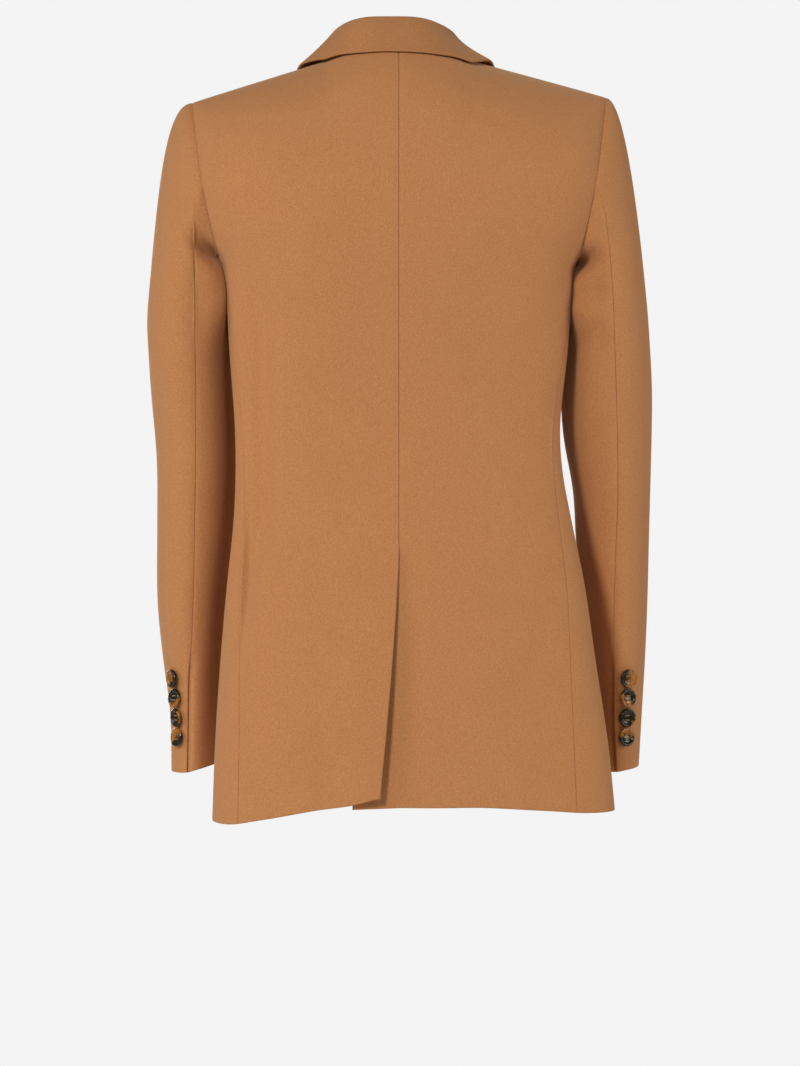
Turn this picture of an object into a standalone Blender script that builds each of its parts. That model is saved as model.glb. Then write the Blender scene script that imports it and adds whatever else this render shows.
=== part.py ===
"""A hip-length double-breasted wool coat, in the hollow form it keeps while it is worn.

Lengths in the tables are millimetres. +Z is up, the fronts face -Y and the wearer's left is +X.
The origin is in the middle of the neck opening, a little below the ends of the shoulder seams.
"""

import math

import bmesh
import bpy
import numpy as np

for stale in list(bpy.data.objects):
    bpy.data.objects.remove(stale)

MM = 0.001
WALL = 2.4  # felted coating cloth
SEAM_GAP = 0.44  # between two pieces that are sewn together
NUDGE = 0.004  # a small step of u or v, for measuring a surface's direction
LEFT, RIGHT = 1, -1

# Horizontal sections of the body, from hem to shoulder blades. left and right are half widths, back and
# front are how far the cloth reaches behind and before the widest line, which lies at y = widest.
BODY_COLUMNS = ("z", "left", "right", "back", "front", "widest", "round_back", "round_front")
BODY_SECTIONS = (
    (-720, 178, 207, 88, 168, 42, 2.2, 2.3),
    (-640, 175, 199, 86, 164, 40, 2.2, 2.3),
    (-560, 170, 187, 84, 156, 37, 2.2, 2.3),
    (-490, 164, 177, 80, 147, 33, 2.2, 2.3),
    (-430, 158, 165, 74, 138, 28, 2.2, 2.3),
    (-380, 156, 156, 70, 132, 24, 2.2, 2.3),
    (-335, 157, 154, 68, 130, 22, 2.2, 2.3),
    (-270, 162, 161, 77, 131, 19, 2.3, 2.3),
    (-190, 169, 169, 97, 129, 13, 2.4, 2.3),
    (-150, 190, 190, 115, 118, 0, 2.5, 2.4),
    (-111.5, 205, 202, 119, 114, -4, 2.6, 2.5),
)
# Rows of points up the body, from the hem to the chest; the upper ones meet the armhole's points.
LEVELS = (-706, -670, -625, -575, -525, -490, -467, -455, -420, -380, -335, -285, -230, -190)
HEM_LEVEL = -706
HEM_FADE_Z = -420  # above this height the rows lie level
LAYER_SPREAD = 0.35  # how much layers spread sideways, against forwards and backwards
BACK_COLUMNS = (0, 0.06, 0.12, 0.2, 0.32, 0.48, 0.65, 0.83, 1)  # closer towards the vent
FRONT_COLUMN_COUNT = 10
SIDE_BEND = -230  # above this level the rows bend to meet the armhole's foot

# The neckline and the shoulder seams
NECK_HALF_WIDTH = 70
NECK_POINT_Z = 13.5
NAPE_Z = 27
NECK_BRIDGE = 22.5  # how high the form would rise over the neck, above the line of the shoulders
RIDGE_Y = -8
NECK_MIDDLE_Y = -30
SHOULDER_SLOPE = {LEFT: 0.31, RIGHT: 0.27}

# The armholes: a long oval that leans in towards the body at its foot
ARMHOLE_STEP = 15  # degrees between the points that sleeve and body share
ARMHOLE_TOP_Z = -33
ARMHOLE_FOOT_Z = -190
ARMHOLE_MIDDLE_Z = (ARMHOLE_TOP_Z + ARMHOLE_FOOT_Z) / 2
ARMHOLE_HALF_HEIGHT = (ARMHOLE_TOP_Z - ARMHOLE_FOOT_Z) / 2
CHEST_Z = ARMHOLE_MIDDLE_Z  # above this height the cloth vaults over to the shoulder seams
SIDE_PANEL_TURN = 150  # where on the armhole the side panel begins, in degrees from its top
ARMHOLE_TOP_X = 198.5
ARMHOLE_LEAN = 17.5
ARMHOLE_TUCK = 12.0

# Seams of the body, as angles from the centre back
SIDE_BACK_HEM = 72
SIDE_FRONT_HEM = 122

# The hem: how high it hangs at each angle from the centre back
HEM_COLUMNS = ("angle", "left", "right")
HEM_HEIGHTS = (
    (-30, -699, -699.5),
    (0, -687, -697.5),
    (13, -689, -697.5),
    (27, -695, -697.5),
    (45, -700.5, -697.5),
    (64, -710, -701),
    (75, -715, -704),
    (90, -713, -703.5),
    (130, -709, -703.5),
    (180, -706, -706),
    (215, -706, -706),
)

# The centre vent: the left side laps over the right
VENT_TOP_Z = -455
VENT_SPREAD = 19
VENT_LAP = 44
VENT_LIFT = 8.0
VENT_LIFT_WIDTH = 55  # how far from the vent's edge the lift fades out
VENT_SINK_FROM, VENT_SINK_TO = 2, 30  # how far out the sunk cloth begins to return to the form, and is there
VENT_SINK = 3.1  # how far the right side steps in behind the left
LAP_TAPER = 55  # the height over which the lap grows to its full width
LAP_TOP_Z = -467  # the lap begins below this height, where the step is complete
STEP_TOP_Z = -450  # where the step between the two sides begins

# The double-breasted fronts: the right laps over the left
FRONT_LAP = 80
BREAK_Z = -300
ROLL_TOP_X, ROLL_TOP_Z = 58, -14
# The height where the two roll lines cross.
CROSS_Z = BREAK_Z + (ROLL_TOP_Z - BREAK_Z) * FRONT_LAP / (FRONT_LAP + ROLL_TOP_X)
LAP_RISE = 3.9
LAP_MARGIN = 5  # the rise reaches this far past the lap, and then eases off
LAP_EASE = 30
LAP_FADE_FROM, LAP_FADE_TO = -135, -50  # the rise fades between these heights

# The lapels. The left one begins where the right front covers it.
LAPEL_TIP_X, LAPEL_TIP_Z = 136, -46
LAPEL_TOP_X, LAPEL_TOP_Z = 52, -27
LAPEL_BELLY = 10
LAPEL_FOOT_WIDTH, LAPEL_FOOT_RISE = 9, 2
COVERED_FOOT_RISE, COVERED_EDGE_DROP, COVERED_EDGE_WIDTH = 16, 62, 12
# How the lapel's cloth leaves the roll line: the share of its width, how far it reaches past the front's
# free edge, and how far its outer face stands off the front.
LAPEL_COLUMNS = ("across", "share", "past", "off")
LAPEL_FOLD = (
    (0, 0, 4.6, 0.2),
    (0.05, 0, 4.9, 2.2),
    (0.1, 0, 3.2, 5.2),
    (0.2, 0.03, 0, 6.8),
    (0.35, 0.18, 0, 6.3),
    (0.55, 0.45, 0, 5.4),
    (0.78, 0.75, 0, 4.7),
    (1, 1, 0, 4.4),
)

# Collar stations from the centre back to each front end: the fold line and the outer edge of the fall.
# The edge's turns are degrees from the ridge of the shoulder, down the back, on either side.
COLLAR_COLUMNS = (
    *("fold_x", "fold_y", "fold_z", "foot_x", "foot_y", "foot_z"),
    *("edge_x", "edge_left", "edge_right", "edge_off"),
)
COLLAR_STATIONS = (
    (0, 49, 51, 0, 50, 29.5, 0, 37, 37, 3.5),
    (25, 46, 50.5, 30, 43, 28.5, 31, 32, 36, 3.7),
    (43, 28, 47, 50, 27, 25, 58, 19.5, 29, 4.6),
    (57, -6, 40, 63, -8, 18, 87, 1, 12, 5.0),
    (62, -38, 23.5, 65, -40, 7, 97, -28, -24, 6.2),
    (62, -63, 2.5, 60, -69, -7, 98, -46, -46, 7.6),
)
COLLAR_SHIFT = 8  # the collar sits a little towards the wearer's left
FALL_COLUMN_COUNT = 21
FALL_ROWS = (0, 0.08, 0.17, 0.26, 0.35, 0.5, 0.68, 0.84, 1)
FOLD_RADIUS = 4.0
FOLD_START, FOLD_END = -75, 50  # degrees round the fold, from inside the neck to the outer face
FOLD_SHARE = 0.35  # how much of the fall's rows go round the fold
FALL_LEAVE, FALL_ARRIVE = 0.8, 1.1  # how strongly the fall keeps its direction at the fold and at its edge
STAND_REACH = 0.8  # how much of the collar's length the stand runs under
STAND_DROP = 7.5  # from the fold line to the stand's top edge
STAND_COLUMN_COUNT, STAND_ROW_COUNT = 17, 3

# Sleeve sections from bicep to cuff. outer and inner are distances from the centre plane of the body.
SLEEVE_COLUMNS = ("z", "outer", "inner", "middle_y", "half_depth", "back_seam")
SLEEVE_SECTIONS = {
    LEFT: (
        (-235, 243, 162.5, -17, 66, 102),
        (-300, 239.5, 158.5, -27, 64, 98),
        (-370, 234, 157, -36, 61, 92),
        (-440, 234, 159.5, -43, 58, 92),
        (-505, 234, 166, -49, 55, 95),
        (-560, 229, 168, -54, 52, 88),
        (-615, 222, 166, -58, 50, 73),
        (-671, 221, 167, -62, 50, 70),
    ),
    RIGHT: (
        (-235, 240, 162.5, -17, 66, 85),
        (-300, 244, 156.5, -27, 64, 81),
        (-345, 244, 158.5, -34, 62, 80),
        (-400, 243, 168.5, -42, 59, 84),
        (-450, 242, 171.5, -49, 57, 88),
        (-505, 241, 178.5, -56, 54, 96),
        (-560, 239, 182, -62, 51, 101),
        (-615, 236, 183, -67, 49, 99),
        (-671, 233, 183, -72, 48, 89),
    ),
}
SLEEVE_FOOT_Z = -671
CUFF_VENT_Z = -556
BICEP_Z = -235
HEAD_ROWS = 6
SLEEVE_ROWS = (-275, -320, -365, -410, -460, -510, CUFF_VENT_Z, -595, -635, SLEEVE_FOOT_Z)
SLEEVE_V = HEAD_ROWS / (HEAD_ROWS + len(SLEEVE_ROWS))
BACK_SEAM_TURN = 90  # where the sleeve's two seams meet the armhole
FRONT_SEAM_TURN = 240
# How far the cloth runs out level at the top, back and foot of the armhole, and how far it then falls
# straight into the bicep.
SLEEVE_HEAD_REACH = {LEFT: (28, 10, 3), RIGHT: (17, 10, 3)}
SLEEVE_HEAD_FALL = (1, 7, 1)  # how far it has already fallen by then
SLEEVE_HEAD_DROP = (118, 66, 16)
SLEEVE_HEAD_LEAN = 0.09  # how much the fall leans in at the top

# The cuff's hem: how far it is raised at each turn round the sleeve
CUFF_HEM_COLUMNS = ("turn", "left", "right")
CUFF_HEM_RISE = (
    (0, 0, 5),
    (60, 0, 2),
    (90, 3, 0),
    (130, 8, 2),
    (180, 12, 4),
    (240, 10, 4),
    (300, 4, 5),
    (360, 0, 5),
)
CUFF_HEM_EASE = 80  # the height over which the rows turn from level to the hem's slope

# Buttons
CUFF_BUTTON_RADIUS = 9.1
FRONT_BUTTON_RADIUS = 13.5
CUFF_BUTTON_TOP_Z = -580
CUFF_BUTTON_PITCH = 18.9
CUFF_BUTTON_ANGLE = {LEFT: 49.5, RIGHT: 71}
FRONT_BUTTON_X = 60
FRONT_BUTTON_HEIGHTS = (-326, -430)
CUFF_BUTTON_COUNT = 4
BUTTON_SIDES = 18
BUTTON_THICK = 3.4
BUTTON_LIFT = 1.8  # the thread shank under a button
# The turned profile of a button: shares of its radius, and of its thickness
BUTTON_PROFILE = ((0, 0.6), (0.6, 0.6), (0.78, 1), (0.92, 0.96), (1, 0.6), (0.86, 0), (0, 0))

CAMEL = (0.495, 0.218, 0.083)
TORTOISESHELL = (0.035, 0.022, 0.013)


def column(table, columns, name, at, key="z"):
    """A table's column read at one value of its key, along a smooth curve through the rows."""
    rows = sorted((row[columns.index(key)], row[columns.index(name)]) for row in table)
    keys = [k for k, _ in rows]
    values = [v for _, v in rows]
    at = min(max(at, keys[0]), keys[-1])
    i = max(j for j in range(len(keys) - 1) if keys[j] <= at or j == 0)
    slopes = [
        (values[min(j + 1, len(keys) - 1)] - values[max(j - 1, 0)])
        / (keys[min(j + 1, len(keys) - 1)] - keys[max(j - 1, 0)])
        for j in (i, i + 1)
    ]
    span = keys[i + 1] - keys[i]
    t = (at - keys[i]) / span
    start = (2 * t**3 - 3 * t**2 + 1) * values[i] + (t**3 - 2 * t**2 + t) * span * slopes[0]
    end = (3 * t**2 - 2 * t**3) * values[i + 1] + (t**3 - t**2) * span * slopes[1]
    return start + end


def body(name, z):
    return column(BODY_SECTIONS, BODY_COLUMNS, name, z)


def smooth(low, high, at):
    t = min(max((at - low) / (high - low), 0), 1)
    return t * t * (3 - 2 * t)


def lerp(a, b, t):
    return a + (b - a) * t


def section_of(side, z, front):
    """Half width, reach and roundness of one quarter of the section at height z."""
    half_width = body("left" if side == LEFT else "right", z)
    if front:
        return half_width, body("front", z), body("round_front", z)
    return half_width, body("back", z), body("round_back", z)


def ring_point(side, angle, z):
    """The cloth's outer face at an angle from the centre back, at a height below the chest."""
    if angle > 180:
        return ring_point(-side, 360 - angle, z)
    if angle < 0:
        return ring_point(-side, -angle, z)
    across = math.sin(math.radians(angle))
    along = math.cos(math.radians(angle))
    half_width, reach, roundness = section_of(side, z, along < 0)
    radius = ((across / half_width) ** roundness + (abs(along) / reach) ** roundness) ** (-1 / roundness)
    return np.array((side * radius * across, body("widest", z) + radius * along, z))


def angle_at(side, x, z, front):
    """The angle from the centre back of the point that lies x out on the wearer's own side."""
    if x < 0:
        turned = angle_at(-side, -x, z, front)
        return 360 - turned if front else -turned
    half_width, reach, roundness = section_of(side, z, front)
    depth = reach * max(1 - (x / half_width) ** roundness, 0) ** (1 / roundness)
    angle = math.degrees(math.atan2(x, depth))
    return 180 - angle if front else angle


def ridge(side, x, front):
    """Depth and height of the line that the cloth vaults up to, x out from the centre on that side: the
    shoulder seam, and between the neck points a bridge over the neck, which the neckline cuts off."""
    beyond = abs(x) / NECK_HALF_WIDTH
    run = max(abs(x) - NECK_HALF_WIDTH, 0)
    seam_y = RIDGE_Y + (-SEAM_GAP / 2 if front else SEAM_GAP / 2)
    even_slope = (SHOULDER_SLOPE[LEFT] + SHOULDER_SLOPE[RIGHT]) / 2
    slope = lerp(even_slope, SHOULDER_SLOPE[side], min(beyond, 1) ** 2)
    inside = max(1 - beyond**2, 0)
    bridge = slope * NECK_HALF_WIDTH * inside / 2 + (0 if front else NECK_BRIDGE * inside**1.2)
    return seam_y, NECK_POINT_Z - slope * run + bridge


def neckline_rise(side, x):
    """How far up towards the ridge the back reaches: all the way, but less under the neck."""
    beyond = min(abs(x) / NECK_HALF_WIDTH, 1)
    height = NECK_POINT_Z + (NAPE_Z - NECK_POINT_Z) * (1 - beyond**2) ** 0.7
    return min((height - CHEST_Z) / (ridge(side, x, False)[1] - CHEST_Z), 1) if beyond < 1 else 1


def chest_y(side, x, front):
    """Depth of the cloth at the chest, x out on that side."""
    half_width, reach, roundness = section_of(side, CHEST_Z, front)
    depth = reach * max(1 - (abs(x) / half_width) ** roundness, 0) ** (1 / roundness)
    return body("widest", CHEST_Z) + (-depth if front else depth)


def vault_point(side, x, rise, front):
    """The cloth's outer face above the chest: rise goes from 0 at the chest to 1 at the ridge."""
    own = side if x >= 0 else -side
    ridge_y, ridge_z = ridge(own, x, front)
    y = ridge_y + (chest_y(own, x, front) - ridge_y) * math.sqrt(max(1 - rise**2, 0))
    return np.array((side * x, y, CHEST_Z + (ridge_z - CHEST_Z) * rise))


def shoulder_point(x, turn, off):
    """A point off millimetres out from the vault, at x (towards the wearer's left) and a turn in degrees
    from the ridge: above 0 down the back, below 0 down the front."""
    side, front = (LEFT if x >= 0 else RIGHT), turn < 0

    def surface(x, turn):
        return vault_point(side, side * x, math.cos(math.radians(turn)), front)

    across = surface(x + 1, turn) - surface(x - 1, turn)
    along = surface(x, turn + (-1 if front else 1)) - surface(x, turn)
    normal = unit(np.cross(across, along))
    return surface(x, turn) + normal * (off if normal[2] > 0 else -off)


def armhole_height(turn):
    """Height at a turn round the armhole: 0 at its top, 90 at the back, 180 at its foot, 270 in front."""
    return ARMHOLE_MIDDLE_Z + ARMHOLE_HALF_HEIGHT * math.cos(math.radians(turn))


def armhole_x(z):
    """How far out the armhole seam lies at a height."""
    down = (ARMHOLE_TOP_Z - z) / (ARMHOLE_TOP_Z - ARMHOLE_FOOT_Z)
    return ARMHOLE_TOP_X - ARMHOLE_LEAN * down - ARMHOLE_TUCK * down**2


def armhole_angle(side, z, front):
    """The armhole seam's angle from the centre back, at a height below the chest."""
    half_width = section_of(side, z, front)[0]
    return angle_at(side, min(armhole_x(z), half_width), z, front)


def armhole_point(side, turn):
    turn = turn % 360
    front = turn > 180
    z = armhole_height(turn)
    if z > CHEST_Z:
        return vault_point(side, armhole_x(z), (z - CHEST_Z) / ARMHOLE_HALF_HEIGHT, front)
    return ring_point(side, armhole_angle(side, z, front), z)


SIDE_PANEL_TOP_Z = armhole_height(SIDE_PANEL_TURN)


def seam_angle(side, z, front):
    """The side seams, running from the hem up to the armhole."""
    hem = SIDE_FRONT_HEM if front else SIDE_BACK_HEM
    top = armhole_angle(side, SIDE_PANEL_TOP_Z, front)
    return hem + (top - hem) * smooth(HEM_LEVEL, SIDE_PANEL_TOP_Z, z)


def outer_edge(side, z, front):
    """The angle of a back's or a front's outer edge: the side seam, and the armhole above it."""
    if z <= SIDE_PANEL_TOP_Z:
        return seam_angle(side, z, front)
    return armhole_angle(side, z, front)


def hem_z(side, angle):
    name = "left" if side == LEFT else "right"
    return column(HEM_HEIGHTS, HEM_COLUMNS, name, angle, "angle")


def grid_mesh(points, normals, wall=WALL):
    """A closed wall: the outer face through a grid of points, the inner face one wall behind it."""
    rows, across = points.shape[:2]
    outer = points.reshape(-1, 3)
    inner = (points - normals * wall).reshape(-1, 3)
    count = len(outer)
    faces = []
    for r in range(rows - 1):
        for c in range(across - 1):
            a, b = r * across + c, r * across + c + 1
            d, e = a + across, b + across
            faces += [(a, b, e, d), (count + d, count + e, count + b, count + a)]
    rim = [c for c in range(across)]
    rim += [r * across + across - 1 for r in range(1, rows)]
    rim += [(rows - 1) * across + c for c in range(across - 2, -1, -1)]
    rim += [r * across for r in range(rows - 2, 0, -1)]
    for here, there in zip(rim, rim[1:] + rim[:1]):
        faces.append((there, here, count + here, count + there))
    return np.concatenate([outer, inner]), faces


def material_of(name, colour, roughness):
    found = bpy.data.materials.get(name)
    if found:
        return found
    made = bpy.data.materials.new(name)
    made.use_nodes = True
    shader = made.node_tree.nodes["Principled BSDF"]
    shader.inputs["Base Color"].default_value = (*colour, 1)
    shader.inputs["Roughness"].default_value = roughness
    shader.inputs["Metallic"].default_value = 0
    made.diffuse_color = (*colour, 1)
    return made


def add_object(name, vertices, faces, colour=CAMEL, roughness=0.9):
    """An object from millimetre points, its faces turned outwards."""
    mesh = bpy.data.meshes.new(name)
    mesh.from_pydata([tuple(float(c) * MM for c in v) for v in vertices], [], faces)
    shape = bmesh.new()
    shape.from_mesh(mesh)
    bmesh.ops.triangulate(shape, faces=shape.faces)
    bmesh.ops.recalc_face_normals(shape, faces=shape.faces)
    shape.to_mesh(mesh)
    shape.free()
    mesh.shade_smooth()
    mesh.set_sharp_from_angle(angle=math.radians(40))
    mesh.materials.append(material_of(name, colour, roughness))
    made = bpy.data.objects.new(name, mesh)
    bpy.context.scene.collection.objects.link(made)
    return made


def unit(vector):
    return vector / np.linalg.norm(vector)


def normal_of(surface, u, v):
    low, high = max(v - NUDGE, 0), min(v + NUDGE, 1)
    across = surface(u + NUDGE, v) - surface(u - NUDGE, v)
    along = surface(u, high) - surface(u, low)
    return unit(np.cross(across, along))


def stepped(surface, u, v, du, dv):
    """The share of the step (du, dv) that leaves half a seam gap between the piece and its seam."""
    step = surface(u + du, v + dv) - surface(u, v)
    inside = (u, v + math.copysign(NUDGE, 0.5 - v)) if du else (u + math.copysign(NUDGE, 0.5 - u), v)
    seam = unit(surface(*inside) - surface(u, v))
    return SEAM_GAP / 2 / np.linalg.norm(np.cross(step, seam))


def panel(name, surface, us, vs, axis_of, sewn="", colour=CAMEL):
    """A cloth piece on surface(u, v), its outer face turned away from axis_of(point).
    sewn names its seams, which stand half a seam gap back: a and z are its first and last columns,
    b and t its bottom and top rows."""
    step = 0.01
    rows = [[[u, v] for u in us] for v in vs]
    for row, v in zip(rows, vs):
        if "a" in sewn:
            row[0][0] += step * stepped(surface, us[0], v, step, 0)
        if "z" in sewn:
            row[-1][0] -= step * stepped(surface, us[-1], v, -step, 0)
    for c, u in enumerate(us):
        if "b" in sewn:
            rows[0][c][1] += step * stepped(surface, u, vs[0], 0, step)
        if "t" in sewn:
            rows[-1][c][1] -= step * stepped(surface, u, vs[-1], 0, -step)
    points = np.array([[surface(u, v) for u, v in row] for row in rows])
    normals = np.array([[normal_of(surface, u, v) for u, v in row] for row in rows])
    middle = surface(0.5, 0.5)
    if np.dot(normal_of(surface, 0.5, 0.5), middle - axis_of(middle)) < 0:
        normals = -normals
    return add_object(name, *grid_mesh(points, normals), colour)


def body_axis(point):
    return np.array((0, 0, point[2]))


def row_height(side, level, angle):
    """The height of a row of points at an angle: near the hem the rows follow it."""
    hem = hem_z(side, angle) - HEM_LEVEL
    return level + hem * (1 - smooth(HEM_LEVEL, HEM_FADE_Z, level))


def level_at(v, levels):
    """v runs from 0 at the hem to 1 at the last level, evenly over the rows."""
    return float(np.interp(v * (len(levels) - 1), range(len(levels)), levels))


def even(count):
    return [float(t) for t in np.linspace(0, 1, count)]


BODY_LEVELS = LEVELS + tuple(armhole_height(turn) for turn in range(SIDE_PANEL_TURN, 89, -ARMHOLE_STEP))
VAULT_ROWS = 90 // ARMHOLE_STEP
BODY_ROWS = len(BODY_LEVELS) + VAULT_ROWS
CHEST_V = (len(BODY_LEVELS) - 1) / (BODY_ROWS - 1)


def outward_at(point):
    """The level direction in which one layer of the body lies on another."""
    return unit(np.array((point[0] * LAYER_SPREAD, point[1] - body("widest", point[2]), 0)))


def body_panel(side, front, inner_x, u, v, out_by):
    """A point of a back (u from the centre out) or of a front (u from its free edge out).
    inner_x(z) is where the piece begins, on the wearer's own side; out_by moves it off the form."""
    if v <= CHEST_V:
        level = level_at(v / CHEST_V, BODY_LEVELS)
        z = level
        for _ in range(3):
            inner = angle_at(side, inner_x(z), z, front)
            angle = inner + (outer_edge(side, z, front) - inner) * u
            z = row_height(side, level, angle)
        point = ring_point(side, angle, z)
    else:
        rise = math.sin(math.pi / 2 * (v - CHEST_V) / (1 - CHEST_V))
        edge_x = armhole_x(CHEST_Z + ARMHOLE_HALF_HEIGHT * rise)
        low = angle_at(side, inner_x(CHEST_Z), CHEST_Z, front)
        angle = low + (outer_edge(side, CHEST_Z, front) - low) * u
        chest_x = side * ring_point(side, angle, CHEST_Z)[0]
        share = (chest_x - inner_x(CHEST_Z)) / (armhole_x(CHEST_Z) - inner_x(CHEST_Z))
        start = inner_x(CHEST_Z + (NECK_POINT_Z - CHEST_Z) * rise)
        x = start + (edge_x - start) * share
        point = vault_point(side, x, rise * (1 if front else neckline_rise(side, x)), front)
    return point + outward_at(point) * out_by(side * point[0], point[2])


def back_start(side):
    """Where a back begins: at the centre seam, and below the vent at its own free edge."""

    def inner_x(z):
        down = min(max((VENT_TOP_Z - z) / (VENT_TOP_Z - HEM_LEVEL), 0), 1)
        if side == LEFT:
            return VENT_SPREAD * down**1.3
        return -VENT_LAP * (1 - smooth(LAP_TOP_Z - LAP_TAPER, LAP_TOP_Z, z))

    return inner_x


def back_rise(side):
    """The left back lifts a little along the vent, and the right one sinks behind it."""

    def out_by(x, z):
        if z > STEP_TOP_Z:
            return 0
        if side == LEFT:
            down = (VENT_TOP_Z - z) / (VENT_TOP_Z - HEM_LEVEL)
            return VENT_LIFT * max(down, 0) * (1 - smooth(VENT_SPREAD, VENT_SPREAD + VENT_LIFT_WIDTH, x))
        sunk = 1 - smooth(LAP_TOP_Z, STEP_TOP_Z, z)
        return -VENT_SINK * sunk * (1 - smooth(VENT_SINK_FROM, VENT_SINK_TO, x))

    return out_by


def back_surface(side):
    start, rise = back_start(side), back_rise(side)
    return lambda u, v: body_panel(side, False, start, u, v, rise)


def make_back(side, name):
    return panel(name, back_surface(side), BACK_COLUMNS, even(BODY_ROWS), body_axis, "azt")


SIDE_TURNS = range(SIDE_PANEL_TURN, 361 - SIDE_PANEL_TURN, ARMHOLE_STEP)
SIDE_LEVELS = LEVELS + (SIDE_PANEL_TOP_Z,)


def side_surface(side):
    """The side panel, from the side-back seam to the side-front one, up to the armhole's foot."""

    def surface(u, v):
        turn = lerp(SIDE_TURNS[0], SIDE_TURNS[-1], u)
        level = level_at(v, SIDE_LEVELS)
        top = armhole_height(turn)
        z = level
        if level > SIDE_BEND:
            z = lerp(SIDE_BEND, top, (level - SIDE_BEND) / (SIDE_LEVELS[-1] - SIDE_BEND))
        for _ in range(3):
            angle = lerp(seam_angle(side, z, False), seam_angle(side, z, True), u)
            if level <= SIDE_BEND:
                z = row_height(side, level, angle)
        at_armhole = armhole_angle(side, top, turn > 180)
        at_top = lerp(seam_angle(side, top, False), seam_angle(side, top, True), u)
        return ring_point(side, angle + (at_armhole - at_top) * smooth(SIDE_BEND, SIDE_LEVELS[-1], level), z)

    return surface


def make_side(side, name):
    return panel(name, side_surface(side), even(len(SIDE_TURNS)), even(len(SIDE_LEVELS)), body_axis, "azt")


def roll_x(z):
    """The free edge of a front, on its wearer's own side: the lap, and above the break the roll line."""
    up = min(max((z - BREAK_Z) / (ROLL_TOP_Z - BREAK_Z), 0), 1.2)
    return -FRONT_LAP + (ROLL_TOP_X + FRONT_LAP) * up


def front_rise(side):
    """The right front lies on the left one as far as they overlap."""

    def out_by(x, z):
        if side == LEFT:
            return 0
        faded = 1 - smooth(LAP_FADE_FROM, LAP_FADE_TO, z)
        lapped = FRONT_LAP + LAP_MARGIN
        return LAP_RISE * faded * (1 - smooth(lapped, lapped + LAP_EASE, x))

    return out_by


def front_surface(side):
    rise = front_rise(side)
    return lambda u, v: body_panel(side, True, roll_x, u, v, rise)


def make_front(side, name):
    return panel(name, front_surface(side), even(FRONT_COLUMN_COUNT), even(BODY_ROWS), body_axis, "zt")



def front_point(side, x, z, off):
    """A point off millimetres out from the front, at x on the wearer's own side and height z."""
    if z <= CHEST_Z:
        point = ring_point(side, angle_at(side, x, z, True), z)
    else:
        ridge_z = ridge(side if x >= 0 else -side, x, True)[1]
        point = vault_point(side, x, (z - CHEST_Z) / (ridge_z - CHEST_Z), True)
    return point + outward_at(point) * (off + front_rise(side)(x, z))


def lapel_surface(side):
    """The turned-back revers, from the roll line (u = 0) to its outer edge, and up to the gorge."""
    if side == RIGHT:
        foot = (roll_x(BREAK_Z), BREAK_Z)
        foot_edge = (foot[0] + LAPEL_FOOT_WIDTH, BREAK_Z + LAPEL_FOOT_RISE)
    else:
        foot = (roll_x(CROSS_Z + COVERED_FOOT_RISE), CROSS_Z + COVERED_FOOT_RISE)
        edge_z = CROSS_Z - COVERED_EDGE_DROP
        foot_edge = (-roll_x(edge_z) + COVERED_EDGE_WIDTH, edge_z)
    top, tip = (LAPEL_TOP_X, LAPEL_TOP_Z), (LAPEL_TIP_X, LAPEL_TIP_Z)

    def surface(u, v):
        past = column(LAPEL_FOLD, LAPEL_COLUMNS, "past", u, "across")
        off = column(LAPEL_FOLD, LAPEL_COLUMNS, "off", u, "across")
        share = column(LAPEL_FOLD, LAPEL_COLUMNS, "share", u, "across")
        z = lerp(lerp(foot[1], top[1], v), lerp(foot_edge[1], tip[1], v), share)
        near = roll_x(lerp(foot[1], top[1], v))
        far = lerp(foot_edge[0], tip[0], v) + LAPEL_BELLY * math.sin(math.pi * v)
        return front_point(side, lerp(near, far, share) - past, z, off)

    return surface


def make_lapel(side, name):
    us = [row[0] for row in LAPEL_FOLD]
    return panel(name, lapel_surface(side), us, even(12), lambda p: np.array((p[0], 200, p[2])))


def collar_row(name, w):
    """A collar curve at w, from -1 at the right front end to 1 at the left one. The edge is given by its
    turn round the shoulder, and how far it stands off the cloth beneath."""
    at = abs(w) * (len(COLLAR_STATIONS) - 1)
    table = [(i,) + row for i, row in enumerate(COLLAR_STATIONS)]
    mirror = dict(zip(COLLAR_COLUMNS, table[1][1:]))
    mirror.update({key: -mirror[key] for key in ("fold_x", "edge_x", "foot_x")})
    mirror["edge_left"], mirror["edge_right"] = mirror["edge_right"], mirror["edge_left"]
    table = [(-1, *mirror.values())] + table
    parts = ("x", "left" if w >= 0 else "right", "off") if name == "edge" else ("x", "y", "z")
    x, y, z = (column(table, ("station",) + COLLAR_COLUMNS, f"{name}_{c}", at, "station") for c in parts)
    shift = 0 if name == "foot" else COLLAR_SHIFT * max(1 - w * w, 0)
    x = math.copysign(x, w) + shift
    return shoulder_point(x, y, z) if name == "edge" else np.array((x, y, z))


def fall_surface(u, v):
    """The top collar: round over the fold (v = 0 inside the neck), then down to its outer edge."""
    fold, edge = collar_row("fold", 2 * u - 1), collar_row("edge", 2 * u - 1)
    out = edge - fold
    out = unit(np.array((out[0], out[1], 0)))
    up = np.array((0, 0, 1))
    turn = math.radians(lerp(FOLD_START, FOLD_END, min(v / FOLD_SHARE, 1)))
    round_top = fold + FOLD_RADIUS * (math.sin(turn) * out + (math.cos(turn) - 1) * up)
    if v <= FOLD_SHARE:
        return round_top
    t = (v - FOLD_SHARE) / (1 - FOLD_SHARE)
    run = np.linalg.norm(edge - round_top)
    leave = (math.cos(turn) * out - math.sin(turn) * up) * run * FALL_LEAVE
    arrive = (edge - round_top) * FALL_ARRIVE
    return (
        (2 * t**3 - 3 * t**2 + 1) * round_top
        + (t**3 - 2 * t**2 + t) * leave
        + (3 * t**2 - 2 * t**3) * edge
        + (t**3 - t**2) * arrive
    )


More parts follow.
